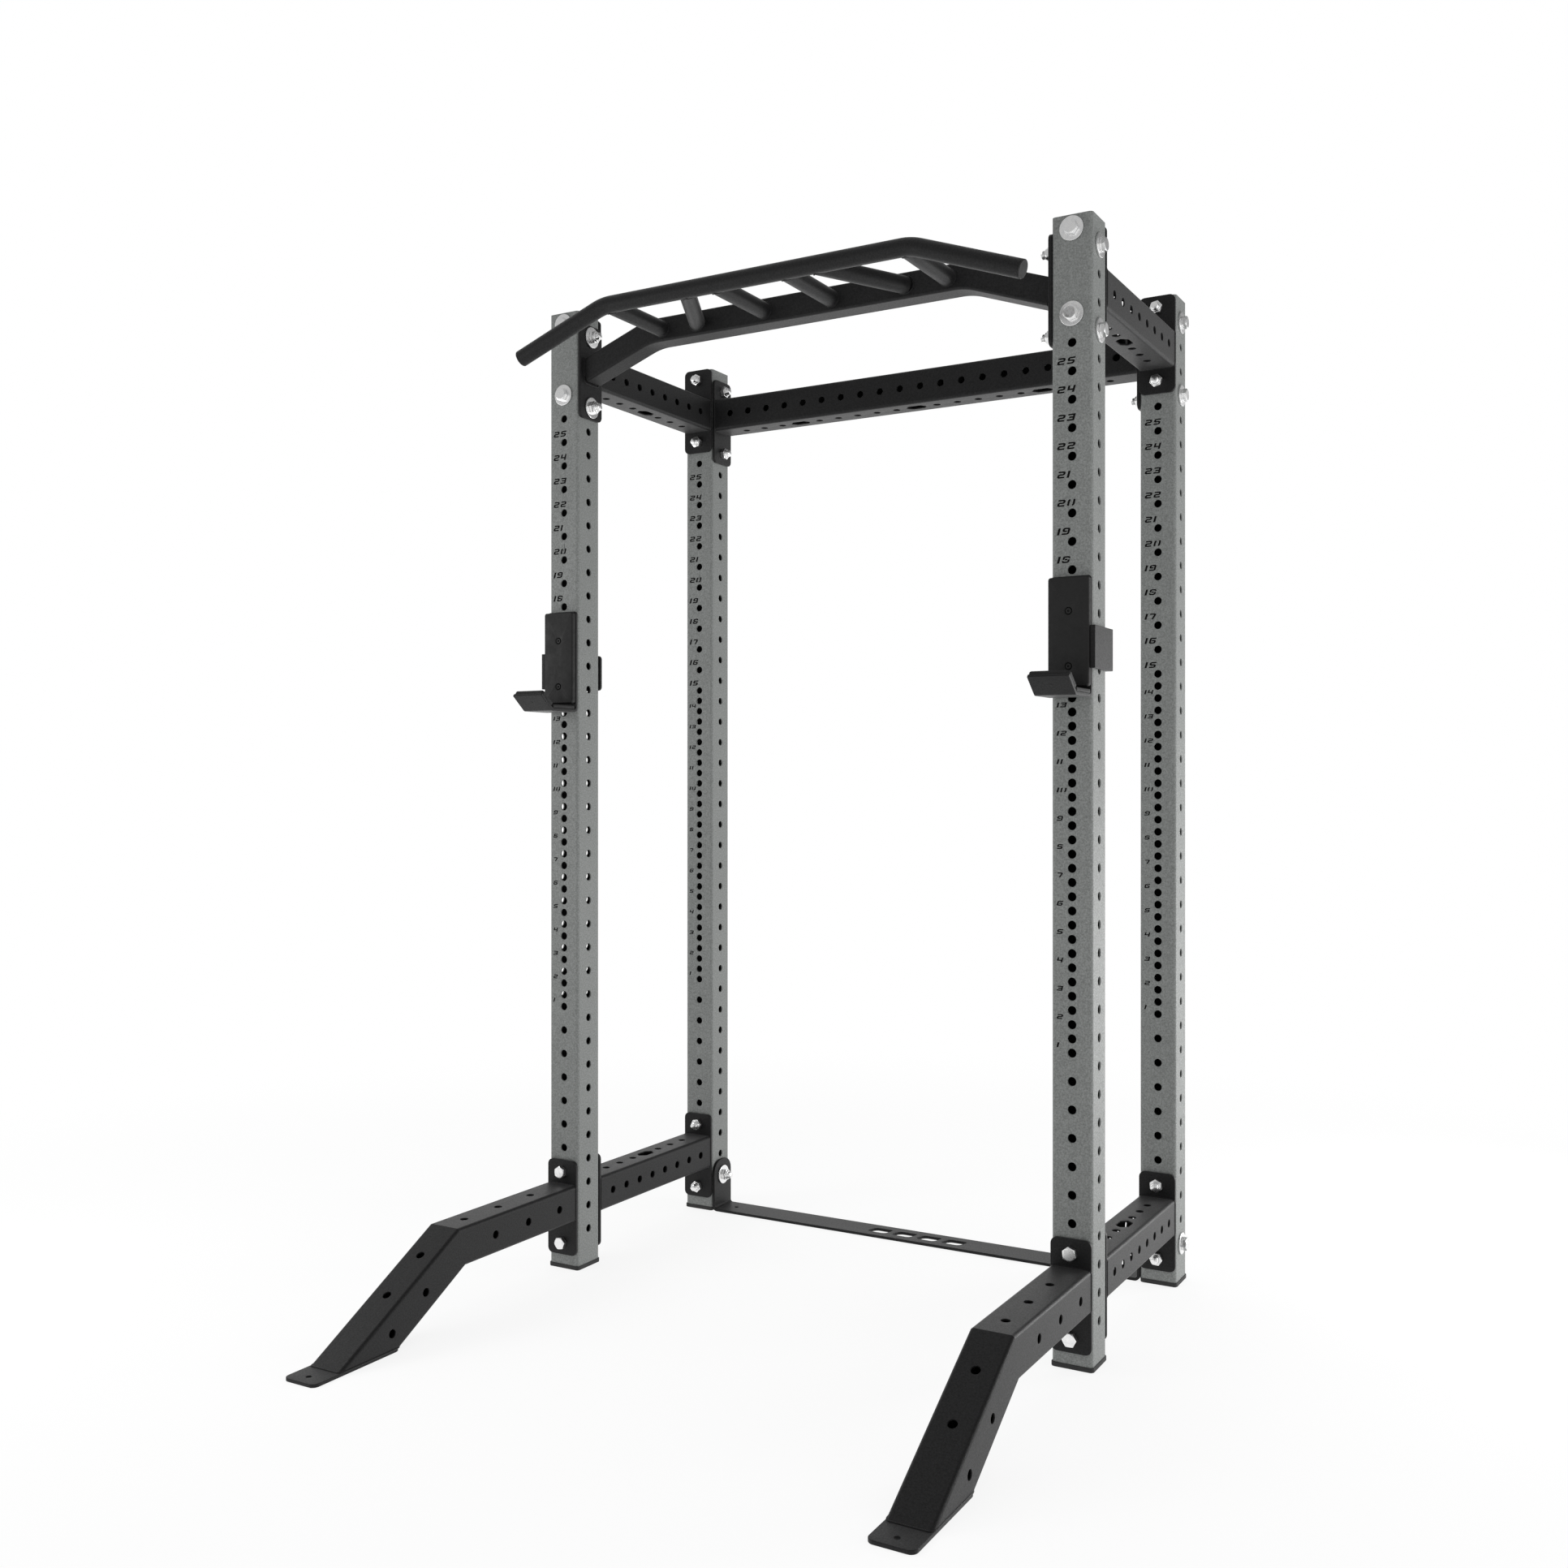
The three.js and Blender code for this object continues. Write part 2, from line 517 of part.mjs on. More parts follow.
// The plastic pad on the back plate of a bar cup.
function backLiner() {
  const backY = CUP_BACK - PLATE - GAP;
  const low = CUP_FLOOR + PLATE + LINER + 4.5;
  const height = CUP_TOP - low - 2.5;
  const outline = new THREE.Shape(roundedRect(TUBE, height, 5, 2));
  const edge = 2.5;
  const bevel = { bevelEnabled: true, bevelThickness: edge, bevelSize: edge, bevelOffset: -edge };
  const options = { depth: BACK_PAD - GAP - 2 * edge, bevelSegments: 1, steps: 1, ...bevel };
  const shape = new THREE.ExtrudeGeometry(outline, options);
  const pad = along("y", shape, UPRIGHT_X, backY - edge, low + height / 2);
  const screws = drills(PAD_SCREWS.map((z) => rod("y", 6.5, 60, 8, UPRIGHT_X, backY, z)));
  return solid(pad).subtract(screws);
}

// The plastic pad that lines the hook and the lip of a bar cup.
function hookLiner() {
  const inset = PLATE + GAP + (LINER - GAP) / 2;
  const half = (LINER - GAP) / 2;
  const hookY = HOOK_Y + inset * Math.tan(LIP_ANGLE / 2);
  const lipRun = 46 - inset * Math.tan(LIP_ANGLE / 2);
  const lipY = hookY - lipRun * Math.cos(LIP_ANGLE);
  const lipZ = CUP_FLOOR + inset + lipRun * Math.sin(LIP_ANGLE);
  const corners = [[CUP_BACK - PLATE - 4, CUP_FLOOR + inset], [hookY, CUP_FLOOR + inset], [lipY, lipZ]];
  const line = rounded(corners.map(([y, z]) => new THREE.Vector2(y, z)), 6, 2);
  return solid(along("x", prism(strip(line, half), TUBE), INNER_X, 0, 0));
}

// A screw that holds the back pad, sunk a little below its front, with its shank in the plate.
function padScrew(z) {
  const frontY = CUP_BACK - PLATE - BACK_PAD + 1;
  const head = rod("y", 5.5, 5, 8, UPRIGHT_X, frontY + 2.5, z);
  const length = BACK_PAD + 4.25;
  const shank = rod("y", 2.6, length, 6, UPRIGHT_X, frontY + 1 + length / 2, z);
  return solid(head).add(solid(shank));
}

const SIDES = [["left", -1], ["right", 1]];
const placed = (body, side) => (side < 0 ? mirrored(body) : body);

SIDES.forEach(([word, side]) => {
  const front = upright(0, FLOOR_BOLTS.concat(FACE_BOLTS), SIDE_BOLTS);
  const rear = upright(REAR_FRONT, FLOOR_BOLTS.concat(FACE_BOLTS), SIDE_BOLTS.concat(SILL_BOLT));
  addPart(`upright_front_${word}`, placed(front, side), GREY_COAT());
  addPart(`upright_rear_${word}`, placed(rear, side), GREY_COAT());
  addPart(`foot_pad_front_${word}`, placed(footPad(0, false), side), RUBBER());
  addPart(`foot_pad_rear_${word}`, placed(footPad(REAR_FRONT, true), side), RUBBER());
  addPart(`top_plug_front_${word}`, placed(topPlug(0), side), BLACK_PLASTIC());
  addPart(`top_plug_rear_${word}`, placed(topPlug(REAR_FRONT), side), BLACK_PLASTIC());
  addPart(`front_foot_${word}`, placed(frontFoot(), side), BLACK_COAT());
  const upper = sideCrossmember(CROSS_TOP, FACE_BOLTS);
  const lower = sideCrossmember(CROSS_BOTTOM, FLOOR_BOLTS);
  addPart(`crossmember_top_${word}`, placed(upper, side), BLACK_COAT());
  addPart(`crossmember_bottom_${word}`, placed(lower, side), BLACK_COAT());
  addPart(`bar_plug_${word}`, placed(barPlug(), side), BLACK_PLASTIC());
  addPart(`cup_steel_${word}`, placed(cupSteel(), side), BLACK_COAT());
  addPart(`cup_back_liner_${word}`, placed(backLiner(), side), BLACK_PLASTIC());
  addPart(`cup_hook_liner_${word}`, placed(hookLiner(), side), BLACK_PLASTIC());
  addPart(`cup_screw_top_${word}`, placed(padScrew(PAD_SCREWS[0]), side), ZINC());
  addPart(`cup_screw_low_${word}`, placed(padScrew(PAD_SCREWS[1]), side), ZINC());

  const tubeAndPlate = TUBE + GAP + PLATE;
  SIDE_BOLTS.forEach((inches, i) => {
    const level = ["low", "high"][i];
    const z = holeHeight(inches);
    const bar = boltSet(tubeAndPlate, true, true);
    placeBolt(`bolt_bar_${level}_${word}`, side, "x", bar, OUTER_X, HALF, z);
    const rear = boltSet(tubeAndPlate, true, false);
    placeBolt(`bolt_rear_${level}_${word}`, side, "x", rear, OUTER_X, REAR_FRONT + HALF, z);
  });
  FACE_BOLTS.forEach((inches, i) => {
    const level = ["low", "high"][i];
    const z = holeHeight(inches);
    const front = boltSet(tubeAndPlate, true, false);
    placeBolt(`bolt_top_front_${level}_${word}`, side, "back", front, UPRIGHT_X, 0, z);
    const rear = boltSet(tubeAndPlate, true, false);
    placeBolt(`bolt_top_rear_${level}_${word}`, side, "forward", rear, UPRIGHT_X, REAR_BACK, z);
  });
  FLOOR_BOLTS.forEach((inches, i) => {
    const level = ["low", "high"][i];
    const z = holeHeight(inches);
    const front = boltSet(tubeAndPlate + GAP + PLATE, false, false);
    placeBolt(`bolt_foot_${level}_${word}`, side, "back", front, UPRIGHT_X, -GAP - PLATE, z);
    const rear = boltSet(tubeAndPlate, true, false);
    placeBolt(`bolt_floor_rear_${level}_${word}`, side, "forward", rear, UPRIGHT_X, REAR_BACK, z);
  });
  const sillBolt = boltSet(tubeAndPlate, true, true);
  placeBolt(`bolt_sill_${word}`, side, "x", sillBolt, OUTER_X, REAR_FRONT + HALF, holeHeight(SILL_BOLT));
});

addPart("crossmember_rear", rearCrossmember(), BLACK_COAT());
addPart("pull_up_bar", pullUpBar(), BLACK_COAT());
addPart("sill", sill(), BLACK_COAT());

export default cage;
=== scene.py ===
# Looks of a half-depth power cage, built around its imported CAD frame.
# Shapes are worked out in millimetres, in the frame's own axes, and become metres when a mesh is made.
import math

import bmesh
import bpy
from mathutils import Matrix, Vector
from mathutils.geometry import delaunay_2d_cdt


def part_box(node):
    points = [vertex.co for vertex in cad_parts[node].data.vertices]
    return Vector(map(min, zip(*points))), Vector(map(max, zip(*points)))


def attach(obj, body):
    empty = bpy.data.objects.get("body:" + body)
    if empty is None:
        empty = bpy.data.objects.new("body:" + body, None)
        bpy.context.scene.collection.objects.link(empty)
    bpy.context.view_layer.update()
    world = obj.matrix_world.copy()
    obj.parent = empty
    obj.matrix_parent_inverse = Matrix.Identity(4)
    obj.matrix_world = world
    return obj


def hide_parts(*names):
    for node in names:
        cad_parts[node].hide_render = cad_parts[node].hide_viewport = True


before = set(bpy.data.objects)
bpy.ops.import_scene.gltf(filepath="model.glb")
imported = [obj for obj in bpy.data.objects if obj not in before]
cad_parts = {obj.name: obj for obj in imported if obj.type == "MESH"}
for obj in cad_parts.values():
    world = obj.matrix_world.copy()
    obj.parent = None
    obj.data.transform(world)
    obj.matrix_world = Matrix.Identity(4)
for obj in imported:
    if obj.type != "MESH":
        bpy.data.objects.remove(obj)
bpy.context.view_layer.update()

MM = 0.001
INCH = 25.4
SIDES = {"left": -1, "right": 1}


def cad_box(node):
    """Lowest and highest corner of a CAD node, in millimetres."""
    low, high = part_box(node)
    return low / MM, high / MM


# Sizes taken from the frame.
post_low, post_high = cad_box("upright_front_right")
rear_low, rear_high = cad_box("upright_rear_right")
TUBE = post_high.x - post_low.x
HALF = TUBE / 2
POST_X = (post_low.x + post_high.x) / 2
FRONT = post_low.y
REAR = rear_low.y
BASE = post_low.z
TOP = post_high.z

# Sizes of the stock that the cage is made of.
WALL = 3.0
CORNER = 7.0
PLATE = 6.35
HOLE = 8.15
EDGE = 0.6  # chamfer left round holes and plate edges by tumbling and paint
RIM = 24  # points round a hole
TURN_STEPS = 6  # faces round a tube's corner
ARC = 7  # points round each corner at the end of a plate
FIRST_NUMBER = 22  # inches up the tube
NUMBERED = 26
PRINTED = 25
CLOSE_PITCH = 15  # below this number the holes are an inch apart
SLOT_LONG = 50.0
SLOT_WIDE = 26.5
ANCHOR_R = 5.0
SHARP = math.radians(50)


# ---------------------------------------------------------------- closed shells

def polygon_area(loop):
    pairs = zip(loop, loop[1:] + loop[:1])
    return sum(a[0] * b[1] - b[0] * a[1] for a, b in pairs) / 2


def inside(point, loop):
    hit = False
    for (ax, ay), (bx, by) in zip(loop, loop[1:] + loop[:1]):
        if (ay > point[1]) != (by > point[1]):
            if point[0] < ax + (point[1] - ay) * (bx - ax) / (by - ay):
                hit = not hit
    return hit


class Shell:
    """One closed surface, gathered face by face and welded when it becomes a mesh."""

    def __init__(self):
        self.points = []
        self.faces = []
        self.paints = []

    def add(self, points, faces, paint=0):
        start = len(self.points)
        self.points.extend(points)
        self.faces.extend([start + i for i in face] for face in faces)
        self.paints.extend([paint] * len(faces))

    def bridge(self, first, second, closed=True, paint=0):
        count = len(first)
        last = count if closed else count - 1
        quads = [(i, (i + 1) % count, count + (i + 1) % count, count + i) for i in range(last)]
        self.add([*first, *second], quads, paint)

    def cap(self, loop, paint=0):
        self.add(loop, [list(range(len(loop)))], paint)

    def fan(self, loop, centre):
        count = len(loop)
        self.add([*loop, centre], [(i, (i + 1) % count, count) for i in range(count)])

    def sheet(self, place, outline, holes=(), creases=(), paint=0):
        """A flat region with holes, triangulated. Creases are pairs of outline points to join."""
        loops = [list(outline)] + [list(hole) for hole in holes]
        flat = [point for loop in loops for point in loop]
        owner = [k for k, loop in enumerate(loops) for _ in loop]
        edges = []
        start = 0
        for loop in loops:
            count = len(loop)
            edges += [(start + i, start + (i + 1) % count) for i in range(count)]
            start += count
        edges += list(creases)
        made = delaunay_2d_cdt([Vector(p) for p in flat], edges, [], 1, 1e-5)
        out, triangles, origins = made[0], made[2], made[3]
        keep = []
        for triangle in triangles:
            owners = {owner[origins[i][0]] if origins[i] else -1 for i in triangle}
            loop = next(iter(owners))
            if len(owners) == 1 and loop > 0:
                middle = sum((out[i] for i in triangle), Vector((0, 0))) / 3
                if inside(middle, loops[loop]):
                    continue
            keep.append(triangle)
        self.add([place(*p) for p in out], keep, paint)

    def mesh(self):
        """The welded surface, facing outwards."""
        work = bmesh.new()
        corners = [work.verts.new(Vector(p) * MM) for p in self.points]
        for face, paint in zip(self.faces, self.paints):
            work.faces.new([corners[i] for i in face]).material_index = paint
        bmesh.ops.remove_doubles(work, verts=work.verts, dist=2e-6)
        bmesh.ops.dissolve_degenerate(work, dist=1e-7, edges=work.edges)
        bmesh.ops.recalc_face_normals(work, faces=work.faces)
        if work.calc_volume(signed=True) < 0:
            bmesh.ops.reverse_faces(work, faces=work.faces)
        made = bpy.data.meshes.new("shell")
        work.to_mesh(made)
        work.free()
        return made


def make_piece(name, shells, material, body, node, mirror=False):
    """Joins shells into one object that rides on a body and stands for a CAD node.
    Faces with paint 1 take the near-black painted-shade material of tube bores and numeral pockets."""
    work = bmesh.new()
    for shell in shells:
        part = shell.mesh()
        work.from_mesh(part)
        bpy.data.meshes.remove(part)
    if mirror:
        bmesh.ops.scale(work, vec=(-1, 1, 1), verts=work.verts)
        bmesh.ops.reverse_faces(work, faces=work.faces)
    mesh = bpy.data.meshes.new(name)
    work.to_mesh(mesh)
    work.free()
    mesh.polygons.foreach_set("use_smooth", [True] * len(mesh.polygons))
    mesh.set_sharp_from_angle(angle=SHARP)
    mesh.materials.append(material)
    if any(1 in shell.paints for shell in shells):
        mesh.materials.append(PAINTED_SHADE_BLACK)
    made = bpy.data.objects.new(name, mesh)
    bpy.context.scene.collection.objects.link(made)
    weighted = made.modifiers.new("weighted_normals", "WEIGHTED_NORMAL")
    weighted.mode = "FACE_AREA"
    weighted.weight = 80
    weighted.keep_sharp = True
    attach(made, body)
    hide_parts(node)


# ---------------------------------------------------------------- outlines

def ring(radius, count=RIM, cx=0.0, cy=0.0, turn=0.0):
    angles = [turn + 2 * math.pi * i / count for i in range(count)]
    return [(cx + radius * math.cos(a), cy + radius * math.sin(a)) for a in angles]


def round_hole(cx, cy, radius=HOLE):
    return lambda grow: ring(radius + grow, RIM, cx, cy)


def slot_hole(cx, cy):
    """A slot along a tube, with the blunt pointed ends that a laser cuts."""
    def outline(grow):
        half, side = SLOT_LONG / 2 + grow, SLOT_WIDE / 2 + grow
        nose = side * 0.45
        shape = [(half, 0)]
        for sx, sy in ((1, 1), (-1, 1), (-1, -1), (1, -1)):
            bend = [(sx * (half - 2.2), sy * nose * 0.62),
                    (sx * (half - nose - 3.2), sy * (side - 1.1)),
                    (sx * (half - nose - 6.4), sy * side)]
            shape += bend if sx * sy > 0 else bend[::-1]
            if (sx, sy) == (-1, 1):
                shape.append((-half, 0))
        return [(cx - y, cy + x) for x, y in shape]
    return outline


def rounded_box(width, height, radius, steps, cx=0.0, cy=0.0):
    points = []
    for corner, (sx, sy) in enumerate(((1, 1), (-1, 1), (-1, -1), (1, -1))):
        for i in range(steps + 1):
            angle = (corner + i / steps) * math.pi / 2
            x = sx * (width / 2 - radius) + radius * math.cos(angle)
            y = sy * (height / 2 - radius) + radius * math.sin(angle)
            points.append((cx + x, cy + y))
    return points


def rounded_line(corners, radius, steps):
    """A line of 2D points whose inner corners become arcs."""
    line = [Vector(corners[0])]
    for before, corner, after in zip(corners, corners[1:], corners[2:]):
        corner = Vector(corner)
        back = (Vector(before) - corner).normalized()
        ahead = (Vector(after) - corner).normalized()
        half = back.angle(ahead) / 2
        start = corner + back * radius / math.tan(half)
        centre = corner + (back + ahead).normalized() * radius / math.sin(half)
        spoke = start - centre
        turn = (math.pi - 2 * half) * math.copysign(1, ahead.x * back.y - ahead.y * back.x)
        for k in range(steps + 1):
            line.append(centre + Matrix.Rotation(turn * k / steps, 2) @ spoke)
    line.append(Vector(corners[-1]))
    return line


def line_normals(line):
    """Left-hand normals at each point, lengthened so that an offset keeps its width."""
    normals = []
    for i, point in enumerate(line):
        into = (point - line[i - 1]) if i else (line[1] - point)
        out = (line[i + 1] - point) if i < len(line) - 1 else into
        a = Vector((-into.y, into.x)).normalized()
        b = Vector((-out.y, out.x)).normalized()
        middle = (a + b).normalized()
        normals.append(middle / middle.dot(b))
    return normals


# ---------------------------------------------------------------- numerals

# Centre lines of squared stencil numerals in a unit box. Every stroke is open, so no island
# drops out. A 1 is a plain bar.
STROKES = {
    "0": [[(0.42, 1), (0, 1), (0, 0), (0.5, 0)], [(0.82, 1), (1, 1), (1, 0), (0.9, 0)]],
    "2": [[(0, 1), (1, 1), (1, 0.5), (0, 0.5), (0, 0), (1, 0)]],
    "5": [[(1, 1), (0, 1), (0, 0.5), (1, 0.5), (1, 0), (0, 0)]],
    "6": [[(1, 1), (0, 1), (0, 0), (1, 0), (1, 0.5), (0.5, 0.5)]],
    "7": [[(0, 1), (1, 1), (0.6, 0)]],
    "8": [[(1, 0.8), (1, 1), (0, 1), (0, 0.5), (1, 0.5), (1, 0), (0, 0), (0, 0.2)]],
    "9": [[(0, 0), (1, 0), (1, 1), (0, 1), (0, 0.5), (0.5, 0.5)]],
}
# Numerals whose strokes meet in a T are one outline. w and h are the size, t a stroke's thickness.
OUTLINES = {
    "3": lambda w, h, t: [
        (0, h), (0, h - t), (w - t, h - t), (w - t, (h + t) / 2), (0.2 * w, (h + t) / 2),
        (0.2 * w, (h - t) / 2), (w - t, (h - t) / 2), (w - t, t), (0, t), (0, 0), (w, 0), (w, h)],
    "4": lambda w, h, t: [
        (0, h), (0, 0.42 * h - t / 2), (w - t, 0.42 * h - t / 2), (w - t, 0), (w, 0), (w, h),
        (w - t, h), (w - t, 0.42 * h + t / 2), (t, 0.42 * h + t / 2), (t, h)],
}
SLANT = 0.29
STRETCH = 1.55  # numerals are wider than they are high
PEN = 0.108  # half of a level stroke's thickness, as a share of the height
NUMERAL_DEPTH = 2.2
NUMERAL_EDGE = 0.4  # a numeral's chamfer, as a share of a hole's
# Left edge, rise over the hole, height, width of a digit, width of a 1 and the gap between.
LARGE_NUMERALS = (-28.4, 18.8, 12.2, 14.0, 4.4, 4.4)
SMALL_NUMERALS = (-29.0, 13.0, 8.7, 10.7, 3.3, 3.4)


def number_holes(text, left, middle, height, wide, narrow, gap):
    """Outlines that cut a number into a wall. left is where its lower left corner starts."""
    pen = height * PEN
    foot = middle - height / 2
    found = []
    x = left
    for mark in text:
        room = narrow if mark == "1" else wide
        cell = room / STRETCH
        if mark == "1":
            points = [Vector((cell / 2, height)), Vector((cell / 2, 0))]
            found.append(stroke_hole(points, cell / 2, 0, x, foot))
        elif mark in OUTLINES:
            found.append(outline_hole(OUTLINES[mark](cell, height, 2 * pen), x, foot))
        else:
            inner, tall = cell - 2 * pen, height - 2 * pen
            for stroke in STROKES[mark]:
                points = [Vector((pen + inner * px, pen + tall * py)) for px, py in stroke]
                found.append(stroke_hole(points, pen, pen * 0.9, x, foot))
        x += room + gap
    return found


def outline_hole(points, x, y):
    """The slanted, stretched copy of a closed outline that runs anticlockwise."""
    def outline(grow):
        grow = grow * NUMERAL_EDGE
        shape = []
        for before, point, after in zip(points[-1:] + points[:-1], points, points[1:] + points[:1]):
            before, here, after = Vector(before), Vector(point), Vector(after)
            along = (here - before).normalized() + (after - here).normalized()
            px, py = point[0] + along.y * grow, point[1] - along.x * grow
            shape.append((px * STRETCH + SLANT * py + x, py + y))
        return shape
    return outline


def stroke_hole(points, pen, reach, x, y):
    """The slanted, stretched outline of a pen stroke whose ends go on for reach."""
    def outline(grow):
        grow = grow * NUMERAL_EDGE
        line = [p.copy() for p in points]
        line[0] += (line[0] - line[1]).normalized() * (reach + grow)
        line[-1] += (line[-1] - line[-2]).normalized() * (reach + grow)
        line = rounded_line(line, pen * 1.15, 3)
        normals = line_normals(line)
        half = pen + grow / STRETCH
        left = [p + n * half for p, n in zip(line, normals)]
        right = [p - n * half for p, n in zip(line, normals)]
        shape = [(p.x * STRETCH + SLANT * p.y + x, p.y + y) for p in left + right[::-1]]
        return shape if polygon_area(shape) > 0 else shape[::-1]
    return outline


# ---------------------------------------------------------------- stock shapes

def square_tube(place, low, high, holes, marks=()):
    """A hollow square tube. place(a, b, s) maps section coordinates and the run s.
    low and high give an end plane as (s on the axis, slope over b). holes maps a side to its
    holes, and marks are pockets in the b- side, whose inner walls and floors are painted near-black as
    shade."""
    shell = Shell()
    flat = HALF - CORNER

    def end(plane, b):
        return plane[0] + plane[1] * b

    for side, sign in (("a", 1), ("a", -1), ("b", 1), ("b", -1)):
        cuts = holes.get(side + ("+" if sign > 0 else "-"), ())
        pockets = marks if (side, sign) == ("b", -1) else ()

        def at(u, s, sink, side=side, sign=sign):
            off = sign * (HALF - sink)
            return place(off, u, s) if side == "a" else place(u, off, s)

        def border(sink, side=side, sign=sign):
            off = sign * (HALF - sink)
            rows = (-flat, flat) if side == "a" else (off, off)
            return [(-flat, end(low, rows[0])), (flat, end(low, rows[1])),
                    (flat, end(high, rows[1])), (-flat, end(high, rows[0]))]

        shell.sheet(lambda u, s: at(u, s, 0), border(0), [cut(EDGE) for cut in [*cuts, *pockets]])
        # The inner sheet takes paint 1, near-black painted shade inside the tube.
        shell.sheet(lambda u, s: at(u, s, WALL), border(WALL), [cut(0) for cut in cuts], paint=1)
        for pocket in pockets:
            mouth = [at(u, s, 0) for u, s in pocket(EDGE)]
            throat = [at(u, s, EDGE * NUMERAL_EDGE) for u, s in pocket(0)]
            floor = [at(u, s, NUMERAL_DEPTH) for u, s in pocket(0)]
            shell.bridge(mouth, throat)
            # Below the chamfer, the pocket's walls and floor take paint 1, near-black painted shade.
            shell.bridge(throat, floor, paint=1)
            shell.cap(floor, paint=1)
        for cut in cuts:
            mouth = [at(u, s, 0) for u, s in cut(EDGE)]
            throat = [at(u, s, EDGE) for u, s in cut(0)]
            shell.bridge(mouth, throat)
            shell.bridge(throat, [at(u, s, WALL) for u, s in cut(0)])

    outer = rounded_box(TUBE, TUBE, CORNER, TURN_STEPS)
    bore = rounded_box(TUBE - 2 * WALL, TUBE - 2 * WALL, CORNER - WALL, TURN_STEPS)
    row = TURN_STEPS + 1
    # The bore's corners take paint 1, near-black painted shade.
    for section, paint in ((outer, 0), (bore, 1)):
        for corner in range(4):
            arc = section[corner * row:(corner + 1) * row]
            shell.bridge([place(a, b, end(low, b)) for a, b in arc],
                         [place(a, b, end(high, b)) for a, b in arc], closed=False, paint=paint)
    for plane in (low, high):
        shell.bridge([place(a, b, end(plane, b)) for a, b in outer],
                     [place(a, b, end(plane, b)) for a, b in bore])
    return shell


def bent_plate(place, corners, width, thick=PLATE, bend=8.0, steps=6, radii=(0.1, 0.1), holes=(),
               edge=EDGE):
    """A flat bar with folds. corners is its middle line, place(x, y, v) maps that plane and the
    width v. radii round its two ends, and holes lie in the unfolded plate as (along, across)."""
    shell = Shell()
    line = rounded_line(corners, bend, steps) if len(corners) > 2 else [Vector(c) for c in corners]
    normals = line_normals(line)
    runs = [0.0]
    for a, b in zip(line, line[1:]):
        runs.append(runs[-1] + (b - a).length)
    total = runs[-1]

    def at(u, v, off):
        k = max(i for i in range(len(line) - 1) if u >= runs[i] - 1e-6 or i == 0)
        t = (u - runs[k]) / (runs[k + 1] - runs[k])
        middle = line[k].lerp(line[k + 1], t)
        p = middle + normals[k].lerp(normals[k + 1], t) * off
        return place(p.x, p.y, v)

    folds = runs[1:-1]

    def border(inset):
        half = width / 2 - inset
        points = []
        for (u, way), radius in (((total - inset, 1), radii[1]), ((inset, -1), radii[0])):
            r = max(radius - inset, 0.02)
            arcs = []
            for i in range(ARC):
                angle = -math.pi / 2 + math.pi / 2 * i / (ARC - 1)
                arcs.append((u + way * (r * math.cos(angle) - r), -half + r + r * math.sin(angle)))
            row = arcs + [(x, -y) for x, y in arcs[::-1]]
            points += row if way > 0 else row[::-1]
            side = half if way > 0 else -half
            points += [(fold, side) for fold in (folds[::-1] if way > 0 else folds)]
        return points

    count = 2 * ARC + len(folds)
    creases = [(2 * ARC + i, 2 * count - 1 - i) for i in range(len(folds))]
    top, bottom = thick / 2, -thick / 2
    for off in (top, bottom):
        shell.sheet(lambda u, v: at(u, v, off), border(edge), [cut(edge) for cut in holes], creases)
    levels = ((edge, top), (0, top - edge), (0, bottom + edge), (edge, bottom))
    for rim in [border, *holes]:
        rows = [[at(u, v, off) for u, v in rim(inset)] for inset, off in levels]
        for a, b in zip(rows, rows[1:]):
            shell.bridge(a, b)
    return shell


def sweep(loops):
    """Joins loops one after another and closes both ends."""
    shell = Shell()
    for a, b in zip(loops, loops[1:]):
        shell.bridge(a, b)
    shell.cap(loops[0])
    shell.cap(loops[-1])
    return shell


def swept_section(line, section, place):
    """Sweeps a section (across, up) along a 2D line. place(x, y, across) gives the point."""
    loops = []
    for point, normal in zip(line, line_normals(line)):
        loops.append([place(point.x + normal.x * up, point.y + normal.y * up, across)
                      for across, up in section])
    return sweep(loops)


def turned(profile, place, count=36, closed=False):
    """A turned body: (radius, along) points about the along axis. An open profile ends on the axis."""
    shell = Shell()
    rows = [[place(x, y, along) for x, y in ring(radius, count)] for radius, along in profile if radius > 0]
    for a, b in zip(rows, rows[1:]):
        shell.bridge(a, b)
    if closed:
        shell.bridge(rows[-1], rows[0])
    else:
        shell.fan(rows[0], place(0, 0, profile[0][1]))
        shell.fan(rows[-1], place(0, 0, profile[-1][1]))
    return shell


def weld_bead(loop, centre, radius, step=2.6):
    """A rippled weld along a closed loop of points. Its section leans outwards from centre."""
    path = []
    for a, b in zip(loop, loop[1:] + loop[:1]):
        pieces = max(1, round((b - a).length / step * 2))
        path += [a.lerp(b, i / pieces) for i in range(pieces)]
    shell = Shell()
    rows = []
    for i, point in enumerate(path):
        along = (path[(i + 1) % len(path)] - path[i - 1]).normalized()
        out = point - centre
        out = (out - along * out.dot(along)).normalized()
        side = along.cross(out)
        size = radius * (1.0 + (0.13 if i % 2 else -0.1))
        rows.append([point + out * size * x + side * size * y for x, y in ring(1, 8)])
    for a, b in zip(rows, rows[1:] + rows[:1]):
        shell.bridge(a, b)
    return shell


# ---------------------------------------------------------------- materials

